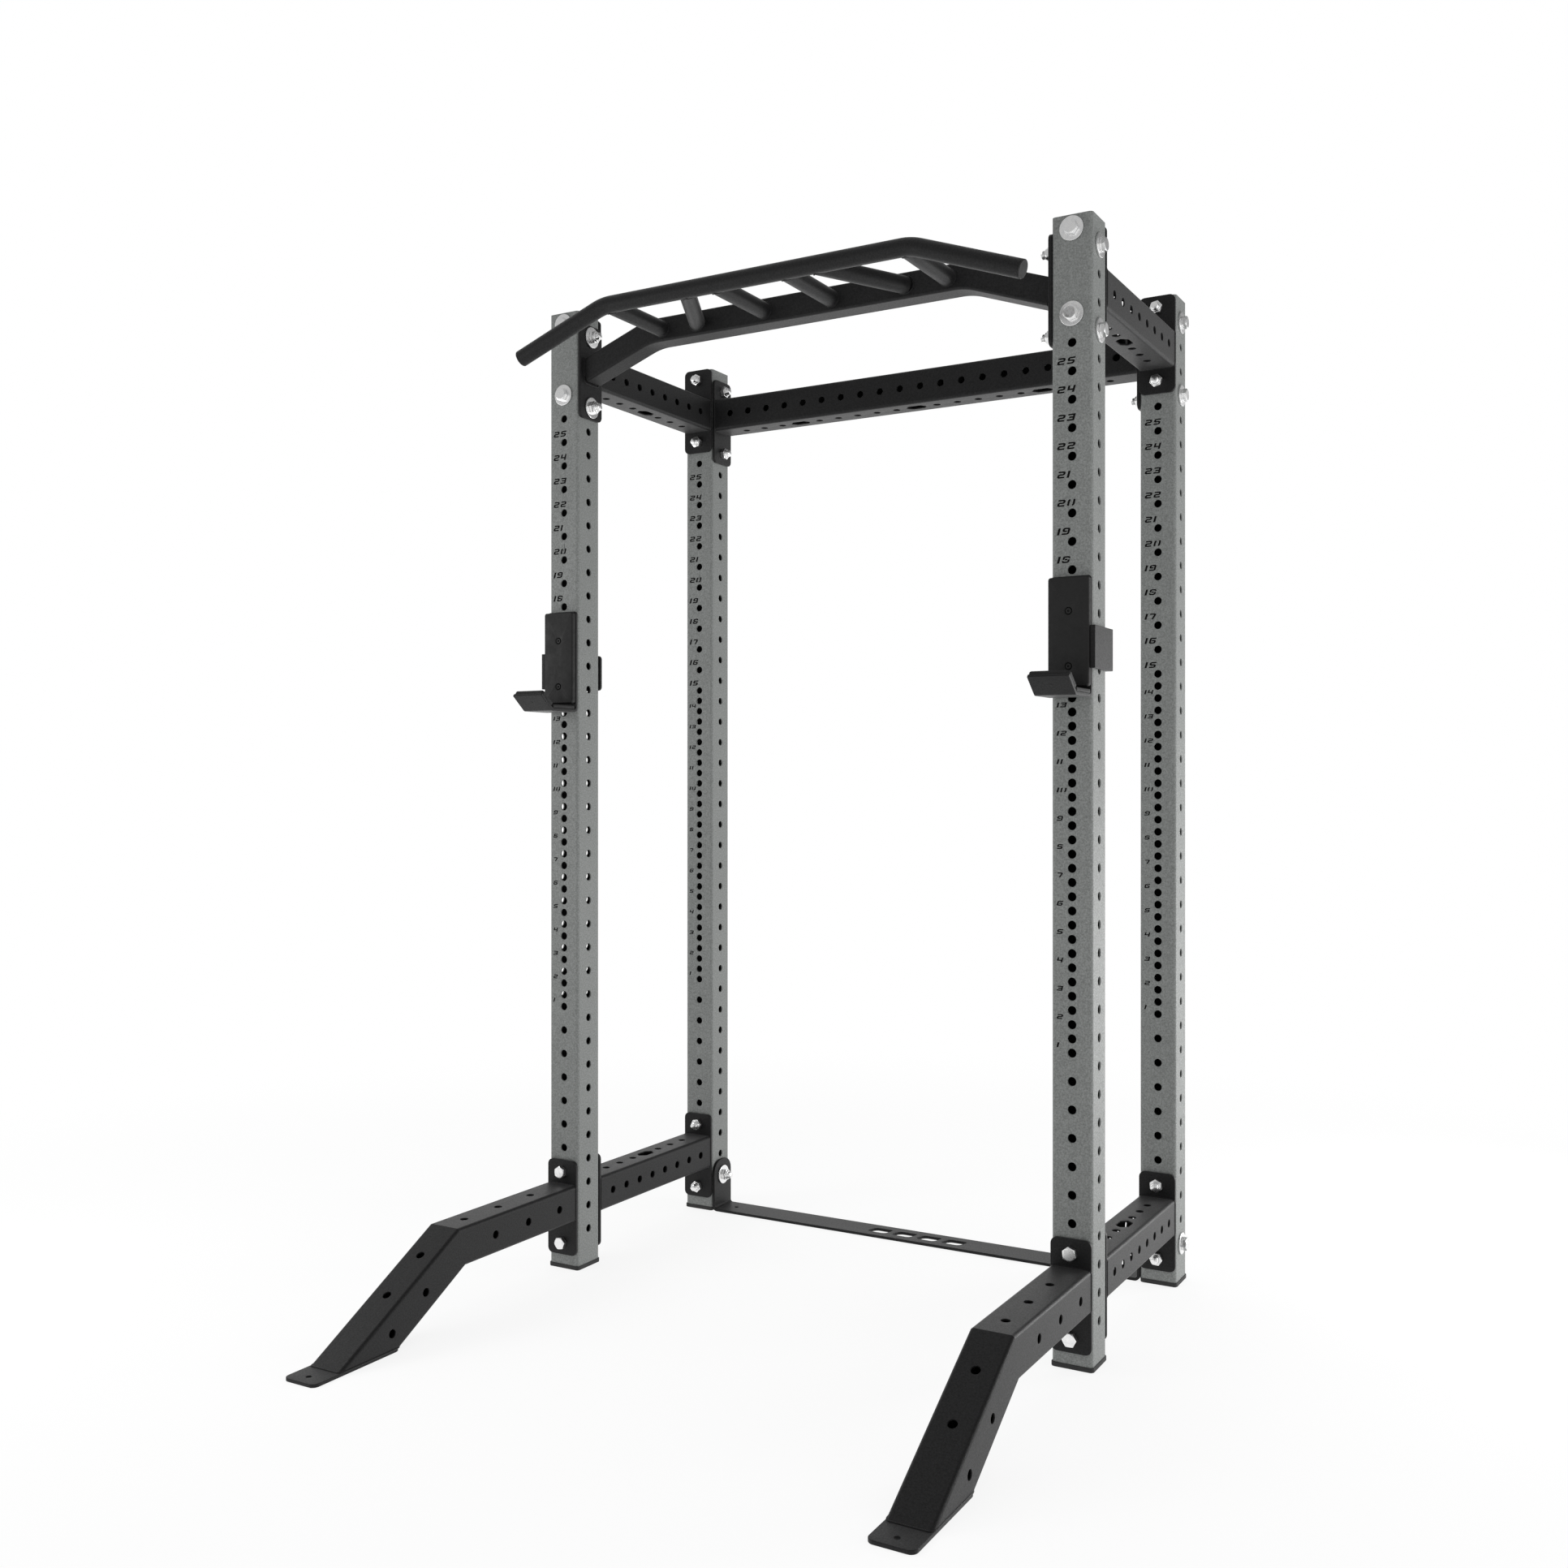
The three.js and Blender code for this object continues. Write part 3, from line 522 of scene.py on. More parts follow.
class Graph:
    """A node tree, with short ways to add nodes and to set or link their inputs."""

    def __init__(self, tree):
        self.nodes, self.links = tree.nodes, tree.links

    def feed(self, node, inputs):
        """Links an input that is given a socket and sets one that is given a value."""
        for key, value in inputs.items():
            if isinstance(value, bpy.types.NodeSocket):
                self.links.new(value, node.inputs[key])
            else:
                node.inputs[key].default_value = value
        return node

    def add(self, kind, inputs):
        return self.feed(self.nodes.new(kind), inputs)

    def where(self, kind="Object"):
        return self.add("ShaderNodeTexCoord", {}).outputs[kind]

    def noise(self, source, scale, detail=2.0, roughness=0.5, stretch=None):
        if stretch:
            source = self.add("ShaderNodeMapping", {"Scale": stretch, "Vector": source}).outputs[0]
        return self.add("ShaderNodeTexNoise", {
            "Scale": scale, "Detail": detail, "Roughness": roughness, "Vector": source,
        }).outputs["Fac"]

    def ramp(self, source, stops):
        made = self.add("ShaderNodeValToRGB", {"Fac": source})
        marks = made.color_ramp.elements
        while len(marks) < len(stops):
            marks.new(0.5)
        for mark, (place, value) in zip(marks, stops):
            mark.position = place
            mark.color = (*value, 1) if isinstance(value, tuple) else (value, value, value, 1)
        return made.outputs["Color"]

    def bump(self, height, strength, distance, under=None):
        made = self.add("ShaderNodeBump", {
            "Strength": strength, "Distance": distance, "Height": height})
        if under:
            self.feed(made, {"Normal": under})
        return made.outputs["Normal"]

    def multiply(self, first, second):
        made = self.nodes.new("ShaderNodeMix")
        made.data_type = "RGBA"
        made.blend_type = "MULTIPLY"
        return self.feed(made, {"Factor": 1.0, "A": first, "B": second}).outputs["Result"]

    def blend(self, source, start, stop, first, last):
        made = self.add("ShaderNodeMapRange", {
            "Value": source, "From Min": start, "From Max": stop, "To Min": first, "To Max": last})
        made.interpolation_type = "SMOOTHSTEP"
        return made.outputs["Result"]

    def mix(self, share, first, second):
        made = self.add("ShaderNodeMixShader", {"Fac": share, 1: first, 2: second})
        return made.outputs["Shader"]


def node_tree(name):
    material = bpy.data.materials.new(name)
    material.use_nodes = True
    graph = Graph(material.node_tree)
    return material, graph, graph.nodes["Principled BSDF"]


def powder_coat(name, tint, depth, gloss, mirror, sheen):
    """Textured powder coat: a fine orange-peel stipple, flecked colour and uneven gloss."""
    material, graph, shader = node_tree(name)
    where = graph.where()
    fleck = graph.noise(where, 330.0, 4.0, 0.72)
    cloud = graph.noise(where, 9.0, 3.0, 0.5)
    dark, light = (tuple(c * share for c in tint) for share in (1 - depth, 1 + depth))
    flecked = graph.ramp(fleck, [(0.36, dark), (0.64, light)])
    clouded = graph.ramp(cloud, [(0.3, 0.94), (0.7, 1.0)])
    peel = graph.noise(where, 1300.0, 2.0, 0.6)
    beads = graph.add("ShaderNodeTexVoronoi", {"Scale": 800.0, "Vector": where})
    relief = graph.bump(beads.outputs["Distance"], 0.35, 0.00018)
    graph.feed(shader, {
        "Base Color": graph.multiply(flecked, clouded),
        "Roughness": graph.ramp(fleck, [(0.3, gloss + 0.08), (0.7, gloss - 0.08)]),
        "Normal": graph.bump(peel, 0.5, 0.00012, relief),
        "Specular IOR Level": 0.5, "Specular Tint": (mirror, mirror, mirror, 1),
        "Sheen Weight": sheen, "Sheen Roughness": 0.35})
    return material


def zinc_plate():
    """Bright zinc with faint drawn lines and a little clouding."""
    material, graph, shader = node_tree("bright_zinc")
    where = graph.where()
    cloud = graph.noise(where, 160.0, 4.0, 0.6)
    lines = graph.noise(where, 700.0, 2.0, 0.5, (1.0, 1.0, 0.08))
    tints = [(0.25, (0.76, 0.77, 0.78)), (0.5, (0.88, 0.88, 0.88)), (0.8, (0.94, 0.93, 0.91))]
    graph.feed(shader, {
        "Base Color": graph.ramp(cloud, tints),
        "Roughness": graph.ramp(cloud, [(0.3, 0.34), (0.7, 0.22)]),
        "Normal": graph.bump(lines, 0.25, 0.00006),
        "Metallic": 1.0})
    return material


def plastic(name, shade, gloss, grain):
    """Cut or moulded black plastic with a fine grain and faint rub marks."""
    material, graph, shader = node_tree(name)
    where = graph.where()
    grit = graph.noise(where, grain, 4.0, 0.65)
    rubs = graph.noise(where, 60.0, 5.0, 0.7, (1.0, 0.25, 1.0))
    colour = graph.ramp(grit, [(0.3, shade * 0.75), (0.7, shade * 1.3)])
    worn = graph.ramp(rubs, [(0.35, 0.85), (0.75, 1.0)])
    graph.feed(shader, {
        "Base Color": graph.multiply(colour, worn),
        "Roughness": graph.ramp(rubs, [(0.35, gloss + 0.1), (0.7, gloss - 0.06)]),
        "Normal": graph.bump(grit, 0.3, 0.00012),
        "Specular Tint": (0.5, 0.5, 0.5, 1)})
    return material


# Near-black painted shade: the insides of tubes and the inner walls and floors of the numeral pockets take
# it, so that holes and numerals read as deep shadow.
PAINTED_SHADE_BLACK = plastic("painted_shade_bores_and_numerals", 0.004, 0.85, 700.0)
GREY = powder_coat("grey_powder_coat", (0.200, 0.209, 0.203), 0.30, 0.55, 1.0, 0.0)
BLACK = powder_coat("black_powder_coat", (0.009, 0.009, 0.0093), 0.55, 0.50, 0.4, 0.12)
ZINC = zinc_plate()
LINER = plastic("black_liner_plastic", 0.012, 0.55, 900.0)
MOULDED = plastic("black_moulded_plastic", 0.018, 0.5, 1400.0)
PAD_RUBBER = plastic("black_pad_rubber", 0.034, 0.70, 1100.0)
OXIDE = plastic("black_oxide_screw", 0.012, 0.5, 500.0)


# ---------------------------------------------------------------- uprights

def height_of(inches):
    return inches * INCH


def upright_holes():
    """Hole centres up the tube, in inches, for the faces and for the sides."""
    numbered = [FIRST_NUMBER + 2 * i for i in range(NUMBERED)]
    between = [n + 1 for n in numbered[:CLOSE_PITCH - 1]]
    lower = list(range(10, FIRST_NUMBER, 2))
    bolts = [2, 8, 74, 80]
    return numbered + between + lower + bolts, list(range(3, 80, 2))


def numeral_cuts(mirror):
    cuts = []
    for number in range(1, PRINTED + 1):
        left, rise, *sizes = LARGE_NUMERALS if number >= CLOSE_PITCH else SMALL_NUMERALS
        up = height_of(FIRST_NUMBER + 2 * (number - 1))
        cuts += number_holes(str(number), left, up + rise, *sizes)
    if not mirror:
        return cuts
    # The mesh of a left-hand upright is mirrored afterwards, so its numerals are cut mirrored.
    return [lambda grow, cut=cut: [(-u, s) for u, s in cut(grow)][::-1] for cut in cuts]


def build_upright(which, side):
    middle = (FRONT if which == "front" else REAR) + HALF
    faces, sides = ([round_hole(0, height_of(n)) for n in row] for row in upright_holes())
    cuts = {"a+": sides, "a-": sides, "b+": faces, "b-": faces}

    def place(a, b, s):
        return Vector((POST_X + a, middle + b, BASE + s))

    tube = square_tube(place, (0, 0), (TOP - BASE, 0), cuts, numeral_cuts(side == "left"))
    make_piece(f"punched_upright_{which}_{side}", [tube], GREY, "frame", f"upright_{which}_{side}",
               side == "left")


# ---------------------------------------------------------------- crossmembers

FLANGE_HEIGHT = 203.2
FLANGE_BOLT = 76.2  # from the middle of a flange to each bolt
LAP = 0.4  # how far a tube runs into the plate it is welded to


def flange(place):
    """A bolted end plate. place(across, up, out) maps its plane and its thickness."""
    holes = [round_hole(FLANGE_HEIGHT / 2 + off, 0) for off in (-FLANGE_BOLT, FLANGE_BOLT)]
    return bent_plate(lambda x, y, v: place(v, x - FLANGE_HEIGHT / 2, y), [(0, 0), (FLANGE_HEIGHT, 0)],
                      TUBE, radii=(12, 12), holes=holes)


def tube_weld(place, radius=2.0):
    """The weld round a tube's end. place(a, b) maps the joint."""
    loop = [place(a, b) for a, b in rounded_box(TUBE - 1, TUBE - 1, CORNER, 4)]
    return weld_bead(loop, place(0, 0), radius)


def build_side_crossmember(level, side):
    node = f"crossmember_{level}_{side}"
    low, high = cad_box(node)
    flange_z = (low.z + high.z) / 2
    tube_z = flange_z + (0.5 * INCH if level == "bottom" else -0.5 * INCH)
    middle = (low.y + high.y) / 2
    half_run = (high.y - low.y) / 2

    def place(a, b, s):
        return Vector((POST_X + a, middle + s, tube_z + b))

    sides = [round_hole(0, (i - 3.5) * 2 * INCH) for i in range(8)]
    levels = [round_hole(0, k * 2 * INCH) for k in (-3, -2, -1, 1, 2, 3)] + [slot_hole(0, 0)]
    cuts = {"a+": sides, "a-": sides, "b+": levels, "b-": levels}
    run = half_run - PLATE + LAP
    shells = [square_tube(place, (-run, 0), (run, 0), cuts)]
    for way in (-1, 1):
        y = middle + way * (half_run - PLATE / 2)
        shells.append(flange(lambda across, up, out, y=y:
                             Vector((POST_X + across, y + out, flange_z + up))))
        shells.append(tube_weld(lambda a, b, s=way * (half_run - PLATE): place(a, b, s)))
    make_piece(f"side_crossmember_{level}_{side}", shells, BLACK, "frame", node,
               side == "left")


def build_rear_crossmember():
    low, high = cad_box("crossmember_rear")
    flange_z = (low.z + high.z) / 2
    tube_z = flange_z + 0.5 * INCH
    middle = (low.y + high.y) / 2
    reach = high.x

    def place(a, b, s):
        return Vector((s, middle + a, tube_z + b))

    faces = [round_hole(0, (i - 9.5) * 2 * INCH) for i in range(20)]
    slots = (-12, 0, 12)
    levels = [round_hole(0, k * INCH) for k in range(-18, 19, 2) if k not in slots]
    levels += [slot_hole(0, k * INCH) for k in slots]
    cuts = {"a+": faces, "a-": faces, "b+": levels, "b-": levels}
    run = reach - PLATE + LAP
    shells = [square_tube(place, (-run, 0), (run, 0), cuts)]
    for way in (-1, 1):
        x = way * (reach - PLATE / 2)
        shells.append(flange(lambda across, up, out, x=x:
                             Vector((x + out, middle + across, flange_z + up))))
        shells.append(tube_weld(lambda a, b, s=way * (reach - PLATE): place(a, b, s)))
    make_piece("rear_crossmember_top", shells, BLACK, "frame", "crossmember_rear")


FOOT_SLOPE = math.radians(30)
# Along Y from the uprights' front faces.
KNEE = -362.5
SOLE_BACK = -530.0
FOOT_SIDE_HOLES = (-62.2, -163.8, -265.4)
FOOT_TOP_HOLES = (-113.0, -214.6, -316.2)
# The leg's holes as Y from there and Z.
LEG_SIDE_HOLES = ((-463.6, 87.6), (-551.6, 36.8))
LEG_TOP_HOLES = ((-439.5, 146.1), (-527.5, 95.3))
SOLE_ANCHOR = 24.0  # from the sole's front edge


def build_foot(side):
    node = f"front_foot_{side}"
    low, high = cad_box(node)
    tube_z = BASE + height_of(5.5)
    flange_z = BASE + height_of(5)
    back = high.y
    knee = FRONT + KNEE
    mitre = math.tan(FOOT_SLOPE / 2)
    fall = math.sin(FOOT_SLOPE)
    down = Vector((0, -math.cos(FOOT_SLOPE), -fall))
    up = Vector((0, -fall, math.cos(FOOT_SLOPE)))

    def level(a, b, s):
        return Vector((POST_X + a, back - s, tube_z + b))

    def leg(a, b, s):
        return Vector((POST_X + a, knee, tube_z)) + up * b + down * s

    def level_holes(spots):
        return [round_hole(0, back - (FRONT + y)) for y in spots]

    def leg_holes(spots):
        return [round_hole(0, (Vector((0, FRONT + y, z)) - Vector((0, knee, tube_z))).dot(down))
                for y, z in spots]

    sides, tops = level_holes(FOOT_SIDE_HOLES), level_holes(FOOT_TOP_HOLES)
    cuts = {"a+": sides, "a-": sides, "b+": tops, "b-": tops}
    shells = [square_tube(level, (PLATE - LAP, 0), (back - knee, mitre), cuts)]

    sides, tops = leg_holes(LEG_SIDE_HOLES), leg_holes(LEG_TOP_HOLES)
    ground = ((tube_z - PLATE) / fall, math.cos(FOOT_SLOPE) / fall)
    cuts = {"a+": sides, "a-": sides, "b+": tops, "b-": []}
    shells.append(square_tube(leg, (0, -mitre), ground, cuts))

    plate_y = back - PLATE / 2
    shells.append(flange(lambda across, rise, out:
                         Vector((POST_X + across, plate_y + out, flange_z + rise))))
    shells.append(bent_plate(lambda x, y, v: Vector((POST_X + v, low.y + x, PLATE / 2 + y)),
                             [(0, 0), (FRONT + SOLE_BACK - low.y, 0)], TUBE, radii=(12, 12),
                             holes=[round_hole(SOLE_ANCHOR, 0, ANCHOR_R)]))
    shells.append(tube_weld(lambda a, b: level(a, b, PLATE)))
    shells.append(tube_weld(lambda a, b: leg(a, b, ground[0] + ground[1] * b), 1.8))
    make_piece(f"angled_foot_{side}", shells, BLACK, "frame", node, side == "left")


# ---------------------------------------------------------------- pull-up bar

BAR_R = 16.7
BAR_KNEE = 336.0
BAR_END = 546.6
BAR_BEND = 110.0
ARCH = 50.8
ARCH_KNEE = 361.0
ARCH_BEND = 150.0
RISE = 59.0  # from the middle of the end plates up to the bar and the arch
DROP = 17.45  # from there down to the bar's ends
GRIPS = ((-324, -324), (-140, -236), (-76.5, -76.5), (76.5, 76.5), (140, 236), (324, 324))
BEND_STEPS = 14
PLUG_HEAD = 3.2


def build_pull_up_bar():
    low, high = cad_box("pull_up_bar")
    plate_z = (low.z + high.z) / 2
    middle = FRONT + HALF
    bar_y = low.y + BAR_R
    bar_z = plate_z + RISE
    edge_x = POST_X - HALF - 0.3
    face = edge_x - PLATE
    rise = RISE / (face - ARCH_KNEE)

    def humped(x, z, knee, bend):
        return rounded_line([(-x, z), (-knee, bar_z), (knee, bar_z), (x, z)], bend, BEND_STEPS)

    arch_line = humped(face + 1, plate_z - rise, ARCH_KNEE, ARCH_BEND)
    section = rounded_box(ARCH, ARCH, 5, 5)
    shells = [swept_section(arch_line, section, lambda x, y, v: Vector((x, middle + v, y)))]

    end = Vector((BAR_END, plate_z - DROP))
    tip = end - (end - Vector((BAR_KNEE, bar_z))).normalized() * (PLUG_HEAD + 0.3)
    bar_line = humped(tip.x, tip.y, BAR_KNEE, BAR_BEND)
    shells.append(swept_section(bar_line, ring(BAR_R, 40),
                                lambda x, y, v: Vector((x, bar_y + v, y))))

    gap = middle - ARCH / 2 - bar_y
    for bar_x, arch_x in GRIPS:
        start = Vector((bar_x, bar_y, bar_z))
        along = Vector((arch_x - bar_x, gap, 0)).normalized()
        across = along.cross(Vector((0, 0, 1)))

        def rim(point, x, y):
            return point + across * BAR_R * x + Vector((0, 0, BAR_R * y))

        ends = (start + along * 4, start + along * ((gap + 1.5) / along.y))
        shells.append(sweep([[rim(end, x, y) for x, y in ring(1, 36)] for end in ends]))
        seam, saddle = [], []
        for x, y in ring(1, 48):
            edge = rim(start, x, y)
            depth = BAR_R * math.sqrt(max(1 - y * y, 0)) + 1.2
            seam.append(edge + along * ((bar_y + gap - edge.y) / along.y))
            saddle.append(edge + along * ((bar_y + depth - edge.y) / along.y))
        shells.append(weld_bead(seam, start + along * (gap / along.y), 1.7))
        shells.append(weld_bead(saddle, start + along * (BAR_R / along.y), 1.5))

    section = rounded_box(ARCH - 1, (ARCH - 1) * math.sqrt(1 + rise * rise), 5, 4)
    for way in (-1, 1):
        x = way * (edge_x - PLATE / 2)
        shells.append(flange(lambda across, up, out, x=x:
                             Vector((x + out, middle + across, plate_z + up))))
        loop = [Vector((way * face, middle + a, plate_z + b)) for a, b in section]
        shells.append(weld_bead(loop, Vector((way * face, middle, plate_z)), 2.0))
    make_piece("multi_grip_bar", shells, BLACK, "frame", "pull_up_bar")


def build_bar_plug(side):
    low, high = cad_box("bar_plug_right")
    bar_y = (low.y + high.y) / 2
    plate_z = sum(c.z for c in cad_box("pull_up_bar")) / 2
    end = Vector((BAR_END, bar_y, plate_z - DROP))
    out = (end - Vector((BAR_KNEE, bar_y, plate_z + RISE))).normalized()
    up = Vector((0, 1, 0)).cross(out)

    def place(x, y, along):
        return end + Vector((0, 1, 0)) * x + up * y + out * (along - PLUG_HEAD - 0.1)

    profile = [(12.5, -18), (12.7, 0.1), (BAR_R - 0.5, 0.1), (BAR_R, 0.7), (BAR_R, 2.0),
               (BAR_R - 0.5, 2.7), (BAR_R - 1.4, 3.1), (6.0, PLUG_HEAD)]
    make_piece(f"bar_end_plug_{side}", [turned(profile, place, 40)], MOULDED, "frame",
               f"bar_plug_{side}", side == "left")


# ---------------------------------------------------------------- sill, pads and plugs

SILL_BEND = 9.0
SILL_ANCHOR = 487.0  # from the middle
WINDOW = (46.0, 30.0, 8.0)  # length, height and corner radius
WINDOW_PITCH = 62.0
WINDOW_SLANT = 0.35


def build_sill():
    low, high = cad_box("sill")
    middle = (low.y + high.y) / 2
    reach = high.x - PLATE / 2
    corners = [(-reach, high.z), (-reach, PLATE / 2), (reach, PLATE / 2), (reach, high.z)]
    # Half of the unfolded length: a fold is shorter than its two legs up to the corner.
    run = high.z - PLATE / 2 + reach - SILL_BEND * (2 - math.pi / 2)
    holes = [round_hole(run + way * (run - HALF), 0) for way in (-1, 1)]
    holes += [round_hole(run + way * SILL_ANCHOR, 0, ANCHOR_R) for way in (-1, 1)]
    for i in (-1.5, -0.5, 0.5, 1.5):
        def window(grow, i=i):
            wide, tall, radius = WINDOW
            points = rounded_box(wide + 2 * grow, tall + 2 * grow, radius + grow, 4)
            return [(run + i * WINDOW_PITCH + x + WINDOW_SLANT * y, y) for x, y in points]
        holes.append(window)
    bar = bent_plate(lambda x, y, v: Vector((x, middle + v, y)), corners, TUBE, bend=SILL_BEND,
                     radii=(30, 30), holes=holes)
    make_piece("floor_sill", [bar], BLACK, "frame", "sill")


def level_loop(z, *box):
    """A rounded box at height z."""
    return [Vector((x, y, z)) for x, y in rounded_box(*box)]


def build_foot_pad(which, side):
    low, high = cad_box(f"foot_pad_{which}_right")
    cx, cy = (low.x + high.x) / 2, (low.y + high.y) / 2
    wide, deep = high.x - low.x, high.y - low.y
    rim = 8.8
    seat = TUBE + 0.4
    left = max(low.x + 0.2, POST_X - seat / 2)
    right = POST_X + seat / 2
    pocket_x, pocket_w = (left + right) / 2, right - left

    def outer(inset, z):
        return level_loop(z, wide - 2 * inset, deep - 2 * inset, 7.5 - inset, 5, cx, cy)

    def inner(inset, z):
        return level_loop(z, pocket_w - 2 * inset, seat - 2 * inset, 6.5 - inset, 5, pocket_x, cy)

    shell = Shell()
    loops = [outer(1.6, 0), outer(0.4, 0.5), outer(0, 1.6), outer(0, rim - 0.7), outer(0.5, rim),
             inner(-0.05, rim), inner(0, rim - 0.4), inner(0, BASE - 0.2)]
    for a, b in zip(loops, loops[1:]):
        shell.bridge(a, b)
    shell.cap(loops[0])
    shell.cap(loops[-1])
    bore = TUBE - 2 * WALL - 1
    plug = [level_loop(z, bore - 2 * inset, bore - 2 * inset, 4, 4, POST_X, cy)
            for inset, z in ((0, BASE - 0.1), (0, high.z - 1.2), (1.2, high.z))]
    make_piece(f"rubber_foot_pad_{which}_{side}", [shell, sweep(plug)], PAD_RUBBER, "frame",
               f"foot_pad_{which}_{side}", side == "left")


def build_top_plug(which, side):
    low, high = cad_box(f"top_plug_{which}_right")
    cy = (low.y + high.y) / 2
    wide = high.x - low.x

    profile = ((2.5, low.z), (0.3, low.z + 2), (0.3, high.z - 5), (0, high.z - 4),
               (0, high.z - 1.3), (0.5, high.z - 0.45), (1.5, high.z - 0.1), (7, high.z - 0.1),
               (8, high.z - 0.9), (24, high.z - 0.6))
    loops = [level_loop(z, wide - 2 * inset, wide - 2 * inset, 4, 5, POST_X, cy)
             for inset, z in profile]
    make_piece(f"tube_cap_{which}_{side}", [sweep(loops)], MOULDED, "frame",
               f"top_plug_{which}_{side}", side == "left")


# ---------------------------------------------------------------- fasteners

FLAT = 11.9  # half of the distance across the flats of a 5/8 inch head
CONE = FLAT * 0.93  # radius of the round flat on a hexagon's end
HEAD = 10.2
NUT = 13.6
DISC = 3.4  # a washer's thickness
TAIL = 9.0  # how far a bolt passes its nut
SHANK = 7.8
PITCH = INCH / 11


def hexagon(angle, half_flat):
    folded = (angle + math.pi / 6) % (math.pi / 3) - math.pi / 6
    return half_flat / math.cos(folded)


def hex_row(place, along, limit, drop, turn, count=48):
    """A hexagonal ring whose corners are cut by a cone: drop is 0 at the flat face."""
    row = []
    for i in range(count):
        angle = 2 * math.pi * i / count
        reach = min(hexagon(angle, FLAT), limit)
        fall = drop * max(0.0, reach - FLAT * 0.96)
        x, y = reach * math.cos(angle + turn), reach * math.sin(angle + turn)
        row.append(place(x, y, along - fall))
    return row


def circle_row(place, along, radius, turn, count=48):
    return [place(x, y, along) for x, y in ring(radius, count, turn=turn)]


def hex_body(place, low, high, turn, washer_face, bore=None):
    """A hexagon with both ends coned. A bore makes it a nut."""
    cone = math.tan(math.radians(30))
    rows = [circle_row(place, low, CONE, turn)]
    if washer_face:
        rows.append(circle_row(place, low + 0.5, CONE, turn))
        rows.append(hex_row(place, low + 0.5, 99, 0, turn))
    else:
        rows.append(hex_row(place, low, 99, -cone, turn))
    rows.append(hex_row(place, high, 99, cone, turn))
    rows.append(circle_row(place, high, CONE, turn))
    if bore:
        rows.append(circle_row(place, high, bore + 0.8, turn))
        rows.append(circle_row(place, high - 0.8, bore, turn))
        rows.append(circle_row(place, low, bore, turn))
        rows.append(rows[0])
    else:
        rows.append(circle_row(place, high - 0.12, FLAT * 0.86, turn))
    shell = Shell()
    for a, b in zip(rows, rows[1:]):
        shell.bridge(a, b)
    if not bore:
        shell.cap(rows[-1])
        shell.cap(rows[0])
    return shell


def thread(place, low, high, count=24):
    """A screw thread as one helical surface, closed at both ends."""
    shell = Shell()
    turns = max(2, math.floor((high - low) / PITCH) - 1)
    rows = []
    for j in range(2 * turns + 1):
        radius = SHANK if j % 2 else SHANK - 1.15
        row = []
        for i in range(count + 1):
            angle = 2 * math.pi * i / count
            along = low + (j / 2 + i / count) * PITCH
            row.append(place(radius * math.cos(angle), radius * math.sin(angle), along))
        rows.append(row)
    for a, b in zip(rows, rows[1:]):
        shell.bridge(a, b, closed=False)
    shell.fan(rows[0] + [rows[1][0]], place(0, 0, low))
    shell.fan(rows[-1] + [rows[-2][count]], place(0, 0, low + (turns + 1) * PITCH))
    return shell


def washer(place, low, high, outer=22.2, inner=8.6):
    profile = [(inner, low), (outer - 0.6, low), (outer, low + 0.5), (outer, high - 0.5),
               (outer - 0.6, high), (inner + 0.3, high)]
    return turned(profile, place, 56, closed=True)


def locknut(place, low, height, turn):
    """A nut with a round collar that holds a plastic ring."""
    top = low + height
    seam = top - height * 0.26
    body = hex_body(place, low, seam, turn, True, SHANK - 0.2)
    profile = [(SHANK + 0.2, seam + 0.05), (FLAT * 0.88, seam + 0.05), (FLAT * 0.88, top - 1.1),
               (FLAT * 0.82, top - 0.25), (FLAT * 0.72, top), (FLAT * 0.69, top - 0.3),
               (FLAT * 0.69, top - 1.0), (SHANK + 0.2, top - 1.0)]
    return [body, turned(profile, place, 40, closed=True)]


def build_bolt(node, side, axis, way, head_washer, nut_washer, turn):
    """A bolt, its washers and its nut. way is the direction from the head to the nut along axis."""
    low, high = cad_box(node.replace("_left", "_right"))
    middle = (low + high) / 2
    run = {"x": Vector((1, 0, 0)), "y": Vector((0, 1, 0))}[axis] * way
    across = Vector((0, 0, 1)).cross(run)
    index = 0 if axis == "x" else 1
    start = middle.copy()
    start[index] = low[index] if way > 0 else high[index]
    length = high[index] - low[index]

    def place(x, y, along):
        return start + across * x + Vector((0, 0, y)) + run * along

    def outwards(x, y, along):
        return place(x, y, -along)

    nut_low = length - TAIL - NUT
    shells = [hex_body(outwards, -HEAD, 0.0, turn, True)]
    if head_washer:
        shells.append(washer(place, HEAD + 0.03, HEAD + DISC))
    shells += locknut(place, nut_low, NUT, turn * 1.7 + 0.3)
    if nut_washer:
        shells.append(washer(place, nut_low - DISC, nut_low - 0.03))
    shells.append(turned([(SHANK - 0.4, HEAD - 0.2), (SHANK - 0.4, nut_low + 0.5)], place, 24))
    shells.append(thread(place, nut_low + 1.0, length - 0.6))
    make_piece(node.replace("bolt_", "fastener_"), shells, ZINC, "frame", node,
               side == "left")


def build_fasteners(side):
    kinds = [
        ("bolt_bar", "x", -1, True, True), ("bolt_rear", "x", -1, True, False),
        ("bolt_top_front", "y", 1, True, False), ("bolt_top_rear", "y", -1, True, False),
        ("bolt_foot", "y", 1, False, False), ("bolt_floor_rear", "y", -1, True, False),
    ]
    for k, (stem, axis, way, head_washer, nut_washer) in enumerate(kinds):
        for j, level in enumerate(("low", "high")):
            turn = math.radians((37 * k + 23 * j + (11 if side == "left" else 0)) % 60)
            build_bolt(f"{stem}_{level}_{side}", side, axis, way, head_washer, nut_washer, turn)
    build_bolt(f"bolt_sill_{side}", side, "x", -1, True, True, math.radians(14))


# ---------------------------------------------------------------- bar cups

